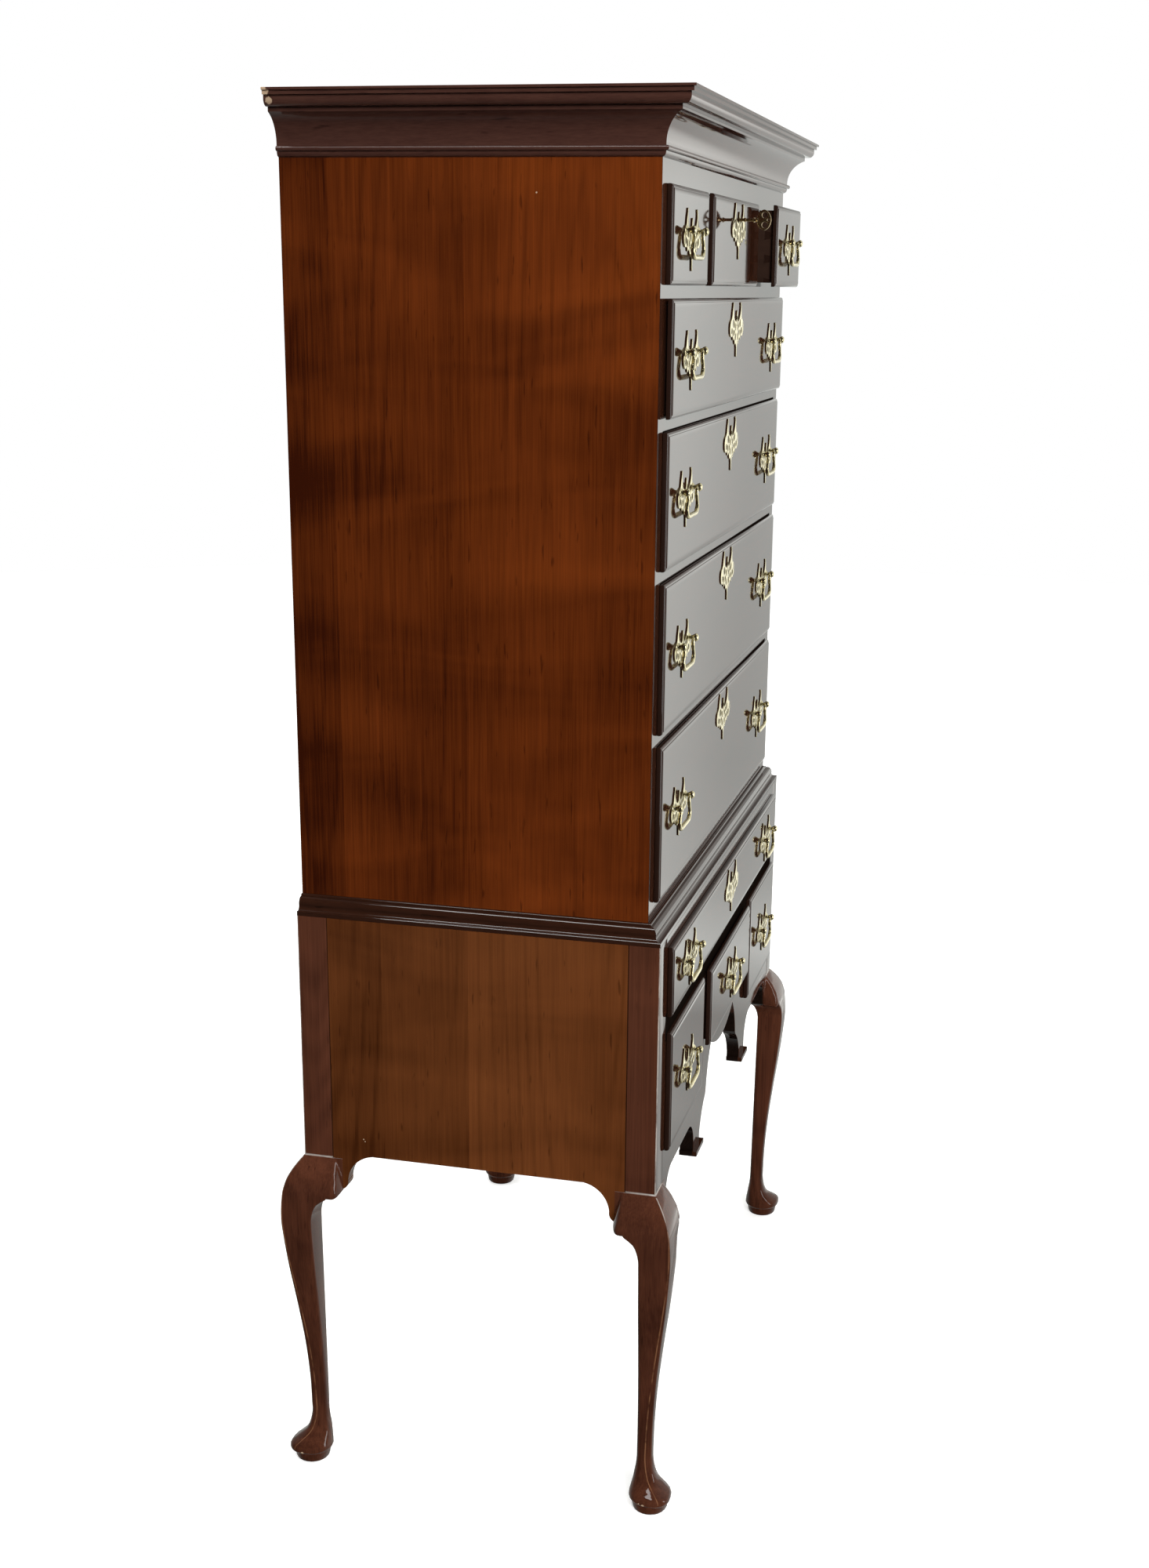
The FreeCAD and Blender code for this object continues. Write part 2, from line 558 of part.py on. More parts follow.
def drawer_front(x, z, depth, pulls, locked):
    """Lipped front: lap with a rounded edge, raised field, core, and holes for studs and key."""
    back, face = -depth - RUN_GAP, -depth - FACE
    low, high = z[0] - LIP_OVERLAP, z[1] + LIP_OVERLAP
    across = lap_profile(x[0] - LIP_OVERLAP, x[1] + LIP_OVERLAP, face, back)
    upright = lap_profile(low, high, face, back)
    lap = plate(across, lambda a, y: V(a, y, low), V(0, 0, high - low))
    left = x[0] - LIP_OVERLAP
    lap = lap.common(plate(upright, lambda c, y: V(left, y, c), V(x[1] - x[0] + 2 * LIP_OVERLAP, 0, 0)))
    core = box((x[0] + DRAWER_GAP, x[1] - DRAWER_GAP), (back, back + CORE_T),
               (z[0] + RUN_GAP, z[1] - DRAWER_GAP))
    front = lap.fuse(core).removeSplitter()
    groove = box((x[0] + DRAWER_GAP + BOX_SIDE_T - GROOVE, x[1] - DRAWER_GAP - BOX_SIDE_T + GROOVE),
                 (back + CORE_T - GROOVE, back + CORE_T + 1), bottom_span(z))
    front = front.cut([groove] + front_tails(x, z, depth))
    for spot in stud_spots(z, pulls):
        front = front.cut(rod(STUD_R + FIT_GAP, V(spot[0], face - 1, spot[1]), V(0, 1, 0), 60))
    if locked == "key":
        front = front.cut(key_way(depth)).cut(lock_seat())
    return front


def lap_profile(low, high, face, back):
    """Section of the lap: square behind, rounded edges and a raised field in front."""
    edge, inset, bend = face + FIELD_RISE, EDGE_R + 0.6, EDGE_R * (1 - math.sqrt(0.5))
    return [(low, back), (low, edge + EDGE_R), (low + EDGE_R, edge, low + bend, edge + bend),
            (low + inset, edge), (low + inset, face), (high - inset, face), (high - inset, edge),
            (high - EDGE_R, edge), (high, edge + EDGE_R, high - bend, edge + bend), (high, back)]


def bottom_span(z):
    """Heights of the groove that holds a drawer's bottom."""
    foot = z[0] + RUN_GAP + BOTTOM_UP
    return (foot, foot + BOTTOM_T)


def box_span(z):
    """Foot and top of a drawer's sides."""
    return (z[0] + RUN_GAP, z[1] - DRAWER_GAP - 2.0)


def joint_heights(low, high):
    """Even pitch and the middle heights of the dovetails between two heights."""
    count = max(2, round((high - low) / TAIL_PITCH))
    pitch = (high - low) / count
    return pitch, [low + pitch * (i + 0.5) for i in range(count)]


def wedges(x, z_range, wide_y, narrow_y):
    """Dovetail prisms across the x range, wider at wide_y than at narrow_y."""
    pitch, heights = joint_heights(*z_range)
    neck = pitch * TAIL_SHARE
    end = neck + TAIL_SPLAY
    solids = []
    for z in heights:
        points = [(narrow_y, z - neck), (wide_y, z - end), (wide_y, z + end), (narrow_y, z + neck)]
        solids.append(plate(points, lambda y, c: V(x[0], y, c), V(x[1] - x[0], 0, 0)))
    return solids


def front_tails(x, z, depth):
    """Dovetails at the front ends of both sides, which the front's core takes in."""
    start = -depth - RUN_GAP + CORE_T
    left, right = x[0] + DRAWER_GAP, x[1] - DRAWER_GAP
    return [tail for ends in ((left, left + BOX_SIDE_T), (right - BOX_SIDE_T, right))
            for tail in wedges(ends, box_span(z), start - TAIL_L, start)]


def drawer_box(x, z, depth):
    """Two grooved sides dovetailed into front and back, a back and a bottom."""
    start, end = -depth - RUN_GAP + CORE_T, -BACK_T - 8.0
    left, right = x[0] + DRAWER_GAP, x[1] - DRAWER_GAP
    foot, top = box_span(z)
    groove = bottom_span(z)
    inner = (left + BOX_SIDE_T, right - BOX_SIDE_T)
    tails = front_tails(x, z, depth)
    half = len(tails) // 2
    back_z = (groove[1], top - 4.0)
    pins = [wedges(ends, back_z, end - BOX_SIDE_T, end) for ends in ((left, inner[0]), (inner[1], right))]
    ways = box((inner[0] - GROOVE, inner[1] + GROOVE), (start - GROOVE, end + 1), groove)
    side = box((left, inner[0]), (start, end), (foot, top)).fuse(tails[:half])
    other = box((inner[1], right), (start, end), (foot, top)).fuse(tails[half:])
    side, other = side.cut([ways] + pins[0]), other.cut([ways] + pins[1])
    back = box(inner, (end - BOX_SIDE_T, end), back_z).fuse(pins[0] + pins[1]).removeSplitter()
    slack = GROOVE - FIT_GAP
    bottom = box((inner[0] - slack, inner[1] + slack), (start - slack, end), groove)
    return [side, other, back, bottom]


# ---- Brass ------------------------------------------------------------------------------------
def pull_centre(z):
    """Height of the pull plates on a front."""
    return (z[0] + z[1]) / 2 - 2.0


def stud_spots(z, pulls):
    """(x, z) of every post on a front."""
    height = pull_centre(z) + POST_UP
    return [(x + side * BORE, height) for x in pulls for side in (-1, 1)]


def plate_outline():
    """Right half of a back plate's outline, from the tip at the bottom to the middle prong."""
    w, up, down = PLATE_HALF_W, PLATE_UP, PLATE_DOWN
    return [(1.3, -down), (2.8, -down + 11.0), (8.0, -19.5), (14.0, -21.0), (19.0, -13.0), (27.0, -15.5),
            (32.0, -9.0), (w - 10.0, -10.5), (w - 1.5, -5.0), (w, 3.0), (w - 6.0, 10.5), (w - 13.0, 13.5),
            (w - 18.0, 19.0), (31.5, up), (28.5, up), (25.5, 20.0), (18.0, 11.0), (7.5, 9.0),
            (3.2, 14.0), (1.4, up - 11.5)]


def back_plate(x, z, face, keyhole=None):
    """A pierced back plate, its centre at (x, z), on the drawer's face."""
    put = lambda a, b: V(x + a, face, z + b)
    body = plate(mirror_outline(plate_outline()), put, V(0, -PLATE_T, 0))
    kites = [[(17, 3), (24, -4), (33, 0), (25, 8)], [(5, -8), (11, -14), (15, -6), (8, -2)]]
    for kite in kites:
        for side in (1, -1):
            hole = plate([(side * a, b) for a, b in kite], put, V(0, -PLATE_T, 0))
            body = body.cut(hole)
    if keyhole:
        return body.cut(keyhole)
    for side in (1, -1):
        body = body.cut(rod(SHANK_R, V(x + side * BORE, face, z + POST_UP), V(0, -1, 0), PLATE_T))
    return body


def turned(profile, x, z):
    """A piece turned about a line along Y; profile is (y, radius), from front to back."""
    first, last = profile[0][0], profile[-1][0]
    ring = [V(x, first, z)] + [V(x, y, z + r) for y, r in profile] + [V(x, last, z)]
    face = Part.Face(Part.makePolygon(ring + ring[:1]))
    return face.revolve(V(x, 0, z), V(0, 1, 0), 360)


def post(x, z, face):
    """A post in one piece: round head, collar and shank in front, stud through the wood."""
    axis = face - POST_OUT
    profile = [(axis - KNOB_R, KNOB_R * 0.45), (axis - KNOB_R * 0.5, KNOB_R), (axis + KNOB_R * 0.5, KNOB_R),
               (axis + KNOB_R, SHANK_R - 0.8), (face - PLATE_T, SHANK_R), (face, SHANK_R), (face, STUD_R),
               (face + LIP_T + CORE_T + NUT_T + 1.0, STUD_R)]
    toward = 1 if x < nearest_pull(x) else -1
    socket = rod(PIN_R + HINGE_GAP, V(x - toward * 2.0, axis, z), V(toward, 0, 0), KNOB_R + 3)
    return turned(profile, x, z).cut(socket)


def nearest_pull(x):
    """Centre of the pull that a post at x belongs to."""
    return min((-PULL_X, 0.0, PULL_X), key=lambda centre: abs(centre - x))


def nut(x, z, face):
    """A hexagonal nut on the stud, against the back of the front."""
    start = face + LIP_T + CORE_T
    ring = [V(x + NUT_R * math.cos(math.pi / 3 * i), start, z + NUT_R * math.sin(math.pi / 3 * i))
            for i in range(6)]
    body = Part.Face(Part.makePolygon(ring + ring[:1])).extrude(V(0, NUT_T, 0))
    return body.cut(rod(STUD_R, V(x, start, z), V(0, 1, 0), NUT_T))


def bail(x, z, face):
    """A bail bent from bar, hanging from its two posts: pins, necks and a shaped grip."""
    y = face - POST_OUT
    neck, wide, low = BORE - KNOB_R - 6.0, BORE - 5.0, z - BAIL_DROP + BAIL_R
    half = [(BORE + 1.5, z), (neck + 1.5, z), (neck, z - 1.5), (neck + 0.5, z - 9.0), (wide, z - 19.0),
            (wide, low + 9.0), (wide - 3.5, low + 3.0), (wide - 10.0, low), (8.0, low)]
    path = [V(x - a, y, b) for a, b in half] + [V(x + a, y, b) for a, b in half[::-1]]
    sections = []
    for i, here in enumerate(path):
        to_here = here - path[max(i - 1, 0)]
        from_here = path[min(i + 1, len(path) - 1)] - here
        radius = PIN_R if i in (0, len(path) - 1) else bail_radius(i, len(path))
        sections.append(bar_section(here, to_here, from_here, radius))
    return Part.makeLoft(sections, True, True)


def bail_radius(i, count):
    """Bar radius at a point of the path: thin at the pins, thickest in the grip."""
    near_end = min(i, count - 1 - i)
    return PIN_R if near_end <= 1 else BAIL_R + (0.7 if near_end >= 8 else 0.0)


def bar_section(here, before, after, radius):
    """Octagon across a bent bar, in the plane that halves its bend."""
    along = (before.normalize() if before.Length else V(0, 0, 0)) + \
            (after.normalize() if after.Length else V(0, 0, 0))
    along.normalize()
    across = V(0, 1, 0)
    side = across.cross(along)
    stretch = 1.0
    if before.Length and after.Length:
        stretch = 1 / max(0.5, math.sqrt((1 + before.dot(after)) / 2))
    ring = [here + across * (radius * math.cos(math.pi / 4 * (i + 0.5))) +
            side * (radius * stretch * math.sin(math.pi / 4 * (i + 0.5))) for i in range(8)]
    return Part.makePolygon(ring + ring[:1])


# ---- Lock and key -----------------------------------------------------------------------------
def lock_plan():
    """Where the lock stands: key axis height, and the case's y range behind the front's core."""
    z = ROWS_TOP + LIP_OVERLAP - PLATE_FROM_LIP + KEY_UP
    start = -UPPER_DEPTH - RUN_GAP + CORE_T - 5.0
    return z, (start, start + 13.0)


def bolt_plan():
    """x and y ranges of the bolt."""
    _, (front, back) = lock_plan()
    return (-13.0, 13.0), (front + 4.0, front + 8.0)


def lock_seat():
    """Recess in the front's core for the lock's case."""
    z, (front, back) = lock_plan()
    return box((-26.0 - FIT_GAP, 26.0 + FIT_GAP), (front, back + 1), (z - 14.0, ROWS_TOP))


def key_way(depth):
    """Keyhole through the wood, wide enough for shaft and bit."""
    z, (front, _) = lock_plan()
    start = -depth - FACE - 1.0
    hole = rod(KEY_R + 1.2, V(0, start, z), V(0, 1, 0), front - start)
    return hole.fuse(box((-2.6, 2.6), (start, front), (z - BIT_R - 1.2, z)))


def lock_case():
    """Hollow brass case, open for the bolt at the top and for the key in front."""
    z, (front, back) = lock_plan()
    wall = 1.2
    top = ROWS_TOP - DRAWER_GAP
    shell = box((-26.0, 26.0), (front, back), (z - 13.0, top))
    hollow = box((-26.0 + wall, 26.0 - wall), (front + wall, back - wall), (z - 13.0 + wall, top - wall))
    x, y = bolt_plan()
    slot = box((x[0] - FIT_GAP, x[1] + FIT_GAP), (y[0] - FIT_GAP, y[1] + FIT_GAP), (z, top + 1))
    way = rod(KEY_R + HINGE_GAP, V(0, front - 1, z), V(0, 1, 0), 20)
    way = way.fuse(box((-BIT_T / 2 - FIT_GAP, BIT_T / 2 + FIT_GAP), (front - 1, front + 3),
                       (z - BIT_R - FIT_GAP, z)))
    return shell.cut(hollow).cut(slot).cut(way)


def lock_bolt():
    """Bolt that rises into the frieze rail; its foot clears the key's shaft."""
    z, _ = lock_plan()
    x, y = bolt_plan()
    return [box(x, y, (z + 2.8, ROWS_TOP - DRAWER_GAP))]


def key():
    """Key with a pierced bow, collar, shaft and bit."""
    z, (front, back) = lock_plan()
    plate_front = -UPPER_DEPTH - FACE - PLATE_T
    tip = plate_front - KEY_OUT
    bow_y, half_y, half_z = tip + 9.5, 9.5, 13.7
    ring = Part.makeCylinder(1, 3.0, V(0, 0, 0), V(1, 0, 0))
    stretch = FreeCAD.Matrix()
    stretch.scale(1, half_y, half_z)
    outer = ring.transformGeometry(stretch)
    outer.translate(V(-1.5, bow_y, z))
    body = outer
    for side in (-1, 1):
        hole = rod(3.4, V(-2, bow_y - 1.0, z + side * 6.6), V(1, 0, 0), 4)
        body = body.cut(hole)
    body = body.cut(rod(2.2, V(-2, bow_y - 5.8, z), V(1, 0, 0), 4))
    shaft = rod(KEY_R, V(0, bow_y + half_y - 2.0, z), V(0, 1, 0), back + 2.5 - bow_y - half_y + 2.0)
    collar = rod(KEY_R + 1.6, V(0, bow_y + half_y + 4.0, z), V(0, 1, 0), 3.0)
    collar2 = rod(KEY_R + 1.0, V(0, bow_y + half_y + 16.0, z), V(0, 1, 0), 2.4)
    bit = box((-BIT_T / 2, BIT_T / 2), (front + 3.4, front + 8.6), (z - BIT_R, z))
    return [body.fuse([shaft, collar, collar2, bit]).removeSplitter()]


# ---- Build ------------------------------------------------------------------------------------
def moved(shapes, opening):
    """Pieces of a drawer that stands open by that much at rest."""
    out = []
    for shape in shapes:
        shape = shape.copy()
        shape.translate(V(0, -opening, 0))
        out.append(shape)
    return out


def build_drawer(name, x, z, depth, pulls, locked, opening):
    """Front, box, brass and bails of one drawer."""
    kind = "key" if name == "top_centre" else locked
    face = -depth - FACE
    centre = pull_centre(z)
    brass = [back_plate(px, centre, face) for px in pulls]
    for px, pz in stud_spots(z, pulls):
        brass += [post(px, pz, face), nut(px, pz, face)]
    if locked:
        height = z[1] + LIP_OVERLAP - PLATE_FROM_LIP
        hole_z = height + KEY_UP
        hole = rod(KEY_R + 1.2, V(0, face - PLATE_T - 1, hole_z), V(0, 1, 0), PLATE_T + 2)
        hole = hole.fuse(box((-1.8, 1.8), (face - PLATE_T - 1, face + 1), (hole_z - 10.2, hole_z)))
        brass.append(back_plate(0.0, height, face, hole))
    if kind == "key":
        brass.append(lock_case())
    save(f"drawer_{name}_front", moved([drawer_front(x, z, depth, pulls, kind)], opening))
    save(f"drawer_{name}_box", moved(drawer_box(x, z, depth), opening))
    save(f"drawer_{name}_brass", moved(brass, opening))
    for px in pulls:
        side = "" if len(pulls) == 1 else ("_left" if px < 0 else "_right")
        save(f"bail_{name}{side}", moved([bail(px, centre + POST_UP, face)], opening))


def build():
    os.makedirs("parts", exist_ok=True)
    save("cornice", mitred_lengths(cornice_profile(), HALF_U, UPPER_DEPTH, CORNICE_Z))
    save("waist_moulding", mitred_lengths(waist_profile(), HALF_U, UPPER_DEPTH, BASE_TOP))
    save("upper_side_boards", upper_sides())
    save("inner_boards", upper_boards() + base_boards())
    save("front_frame", front_frame())
    save("back_boards", back_boards())
    save("base_side_panels", side_panels())
    save("apron", apron() + apron_pads())
    front_legs, rear_legs = legs()
    save("legs", front_legs + rear_legs)
    save("knee_blocks", knee_blocks())
    save("lock_bolt", moved(lock_bolt(), LOCK_PLAY))
    save("key", moved(key(), LOCK_PLAY))
    for drawer in drawer_list():
        build_drawer(*drawer)


build()
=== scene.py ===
"""Looks of the flat-top highboy: cherry wood, mouldings, cabriole legs, brass and a studio.

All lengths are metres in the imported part's frame: the floor is z = 0, the drawer fronts face -Y
and the origin lies under the middle of the four feet.
"""

from collections.abc import Callable
from dataclasses import dataclass, field
from enum import Enum
import json
import logging
import math

import bmesh
import bpy
from mathutils import Matrix, Vector
import numpy as np

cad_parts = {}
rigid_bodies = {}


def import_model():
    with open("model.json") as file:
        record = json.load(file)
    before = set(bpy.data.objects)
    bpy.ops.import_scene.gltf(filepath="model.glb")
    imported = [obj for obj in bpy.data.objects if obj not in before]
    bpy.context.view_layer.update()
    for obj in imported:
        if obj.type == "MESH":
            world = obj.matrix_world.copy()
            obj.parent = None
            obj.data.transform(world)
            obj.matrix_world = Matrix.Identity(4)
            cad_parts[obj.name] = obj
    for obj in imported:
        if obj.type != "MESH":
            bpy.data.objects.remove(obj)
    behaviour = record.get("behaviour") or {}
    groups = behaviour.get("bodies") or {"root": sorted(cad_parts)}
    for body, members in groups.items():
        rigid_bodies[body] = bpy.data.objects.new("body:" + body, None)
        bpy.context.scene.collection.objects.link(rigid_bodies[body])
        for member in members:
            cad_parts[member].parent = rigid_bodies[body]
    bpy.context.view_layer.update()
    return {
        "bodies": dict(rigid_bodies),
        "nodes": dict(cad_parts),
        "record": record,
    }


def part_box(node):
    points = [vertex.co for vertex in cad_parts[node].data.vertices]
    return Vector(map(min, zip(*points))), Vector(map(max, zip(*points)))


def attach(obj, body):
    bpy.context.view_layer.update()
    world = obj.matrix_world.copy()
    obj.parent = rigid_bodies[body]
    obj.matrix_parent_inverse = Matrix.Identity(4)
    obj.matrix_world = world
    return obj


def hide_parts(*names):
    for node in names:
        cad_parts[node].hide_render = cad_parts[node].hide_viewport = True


LOG = logging.getLogger("highboy")
MM = 0.001
RGB = tuple[float, float, float]
Shell = tuple[np.ndarray, list[tuple[int, ...]]]  # points and faces

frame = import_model()


# ---------------------------------------------------------------------------------------------
# Measures that the frame gives
# ---------------------------------------------------------------------------------------------
def low(node: str) -> Vector:
    """Lowest corner of a CAD node."""
    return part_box(node)[0]


def high(node: str) -> Vector:
    """Highest corner of a CAD node."""
    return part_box(node)[1]


UPPER_HALF = high("upper_side_boards").x          # half the upper case's width
UPPER_FRONT = low("upper_side_boards").y          # its front face
REAR = high("upper_side_boards").y                # backs of both cases
BASE_HALF = high("base_side_panels").x            # half the base's width
BASE_FRONT = low("front_frame").y                 # front face of the base
BASE_TOP = high("legs").z                         # where the upper case stands
POST_FOOT = 0.469                                 # foot of the square posts, above the knees
FACE = 0.0004                                     # how far behind a face still counts as it


# ---------------------------------------------------------------------------------------------
# Shader graphs
# ---------------------------------------------------------------------------------------------
def math_operator(operation: str,
                  swap: bool = False) -> Callable[["Sock", "Sock | float"], "Sock"]:
    """An operator of Sock that adds one Math node.

    Args:
        operation: Blender's name of the operation.
        swap: whether the socket comes second, as in 1 - mask.

    Returns:
        The method.
    """
    def apply(self: "Sock", other: "Sock | float") -> "Sock":
        """The socket and the other operand put together."""
        return self.math(operation, *((other, self) if swap else (self, other)))
    return apply


class Sock:
    """A shader socket; arithmetic on it adds Math nodes to its graph."""

    def __init__(self, graph: "Graph", socket: bpy.types.NodeSocket) -> None:
        """Wrap one output socket."""
        self.graph, self.socket = graph, socket

    def math(self, operation: str, *values: "Sock | float") -> "Sock":
        """One Math node.

        Args:
            operation: Blender's name of the operation.
            values: its inputs in order.

        Returns:
            The node's output.
        """
        return self.graph.node("ShaderNodeMath", {"operation": operation}, dict(enumerate(values)))

    __add__, __radd__ = math_operator("ADD"), math_operator("ADD", swap=True)
    __sub__, __rsub__ = math_operator("SUBTRACT"), math_operator("SUBTRACT", swap=True)
    __mul__, __rmul__ = math_operator("MULTIPLY"), math_operator("MULTIPLY", swap=True)
    __truediv__, __rtruediv__ = math_operator("DIVIDE"), math_operator("DIVIDE", swap=True)
    __pow__ = math_operator("POWER")
    __gt__ = math_operator("GREATER_THAN")        # 1 where it holds, else 0
    __lt__ = math_operator("LESS_THAN")

    def abs(self) -> "Sock":
        """Size without sign."""
        return self.math("ABSOLUTE", self)

    def sin(self) -> "Sock":
        """Sine of radians."""
        return self.math("SINE", self)

    def step(self, start: float, end: float) -> "Sock":
        """A smooth rise from 0 at start to 1 at end (a fall where start is above end).

        Args:
            start: value at which the rise begins.
            end: value at which it is complete.

        Returns:
            The share risen.
        """
        flip = start > end
        first, last = (end, start) if flip else (start, end)
        settings = {"interpolation_type": "SMOOTHSTEP"}
        rise = self.graph.node("ShaderNodeMapRange", settings, {0: self, 1: first, 2: last})
        return 1.0 - rise if flip else rise

    def clamp(self) -> "Sock":
        """Held between 0 and 1."""
        return self.graph.node("ShaderNodeClamp", {}, {0: self})


class Graph:
    """A material's or world's node tree, and the one method that makes its nodes."""

    def __init__(self, owner: bpy.types.Material | bpy.types.World) -> None:
        """Start an empty tree on a material or world.

        Args:
            owner: the material or world.
        """
        owner.use_nodes = True
        self.tree = owner.node_tree
        self.kind = "World" if isinstance(owner, bpy.types.World) else "Material"
        self.tree.nodes.clear()

    def node(self, kind: str, settings: dict[str, object] | None = None,
             inputs: dict[int | str, object] | None = None, output: int | str = 0) -> Sock:
        """Make one node.

        Args:
            kind: Blender's type name.
            settings: properties, set before the inputs; "stops" fills a colour ramp.
            inputs: values, sockets or Sock objects by input name or number.
            output: which output to hand back.

        Returns:
            The chosen output, wrapped.
        """
        made = self.tree.nodes.new(kind)
        for name, value in (settings or {}).items():
            if name == "stops":
                self._stops(made, value)
            else:
                setattr(made, name, value)
        for name, value in (inputs or {}).items():
            socket = made.inputs[name]
            if isinstance(value, Sock):
                self.tree.links.new(value.socket, socket)
            elif isinstance(value, tuple) and socket.type == "RGBA":
                socket.default_value = (*value, 1.0)[:4]
            else:
                socket.default_value = value
        return Sock(self, made.outputs[output] if made.outputs else None)

    @staticmethod
    def _stops(ramp: bpy.types.Node, stops: list[tuple[float, RGB]]) -> None:
        """Fill a colour ramp with (place, colour) stops.

        Args:
            ramp: the ramp's node.
            stops: its stops in order of place.
        """
        elements = ramp.color_ramp.elements
        for place, colour in stops[len(elements):]:
            elements.new(place)
        for element, (place, colour) in zip(elements, stops):
            element.position, element.color = place, (*colour, 1.0)

    def spot(self, space: str = "Object") -> Sock:
        """The shaded point in metres, or a world's Generated direction."""
        return self.node("ShaderNodeTexCoord", output=space)

    def place(self, space: str = "Object") -> tuple[Sock, Sock, Sock]:
        """x, y and z of the shaded point or direction.

        Args:
            space: Texture Coordinate's output, Object or Generated.

        Returns:
            The three numbers.
        """
        spot = self.spot(space)
        x, y, z = (self.node("ShaderNodeSeparateXYZ", {}, {0: spot}, i) for i in range(3))
        return x, y, z

    def ray(self, kind: str) -> Sock:
        """1 for a ray of this kind, such as Camera or Glossy, else 0."""
        return self.node("ShaderNodeLightPath", output=f"Is {kind} Ray")

    def vector(self, x: Sock | float, y: Sock | float, z: Sock | float) -> Sock:
        """A vector of three numbers."""
        return self.node("ShaderNodeCombineXYZ", {}, {0: x, 1: y, 2: z})

    def vectors(self, operation: str, first: Sock, second: Sock | tuple[float, ...]) -> Sock:
        """Two vectors put together by a Vector Math node."""
        return self.node("ShaderNodeVectorMath", {"operation": operation}, {0: first, 1: second})

    def noise(self, vector: Sock, scale: float, detail: float = 2.0, rough: float = 0.5,
              distortion: float = 0.0) -> Sock:
        """Noise from 0 to 1 about 0.5.

        Args:
            vector: where the noise is read.
            scale: cells per unit.
            detail: octaves.
            rough: how much of the fine octaves shows.
            distortion: how far the noise bends itself.

        Returns:
            The noise.
        """
        values = {"Vector": vector, "Scale": scale, "Detail": detail, "Roughness": rough,
                  "Distortion": distortion}
        return self.node("ShaderNodeTexNoise", {}, values)

    def mix(self, share: Sock, first: Sock | RGB, second: Sock | RGB) -> Sock:
        """Two colours mixed: all first where share is 0."""
        return self.node("ShaderNodeMix", {"data_type": "RGBA"},
                         {0: share, 6: first, 7: second}, 2)

    def bump(self, height: Sock, strength: float, distance: float) -> Sock:
        """The surface's direction with a height's bumps on it."""
        values = {"Strength": strength, "Distance": distance, "Height": height}
        return self.node("ShaderNodeBump", {}, values)

    def finish(self, shader: Sock) -> None:
        """Link a shader to the tree's output."""
        self.node(f"ShaderNodeOutput{self.kind}", {}, {0: shader})


# ---------------------------------------------------------------------------------------------
# Finishes
# ---------------------------------------------------------------------------------------------
class Grain(Enum):
    """Which way the wood's grain runs on a piece."""

    UPRIGHT = "upright"
    ACROSS = "across"
    FORE_AND_AFT = "fore and aft"
    FRAME = "upright in stiles and dividers, across in rails"
    UPPER_MOULDING = "along the mitred lengths round the upper case"
    LEG = "upright and following the leg"


# Front-facing cherry, darkened by painted shade because the fronts get less light.
FRONT_SHADED = ((0.016, 0.0058, 0.0033), (0.044, 0.0140, 0.0064))  # its dark and its light


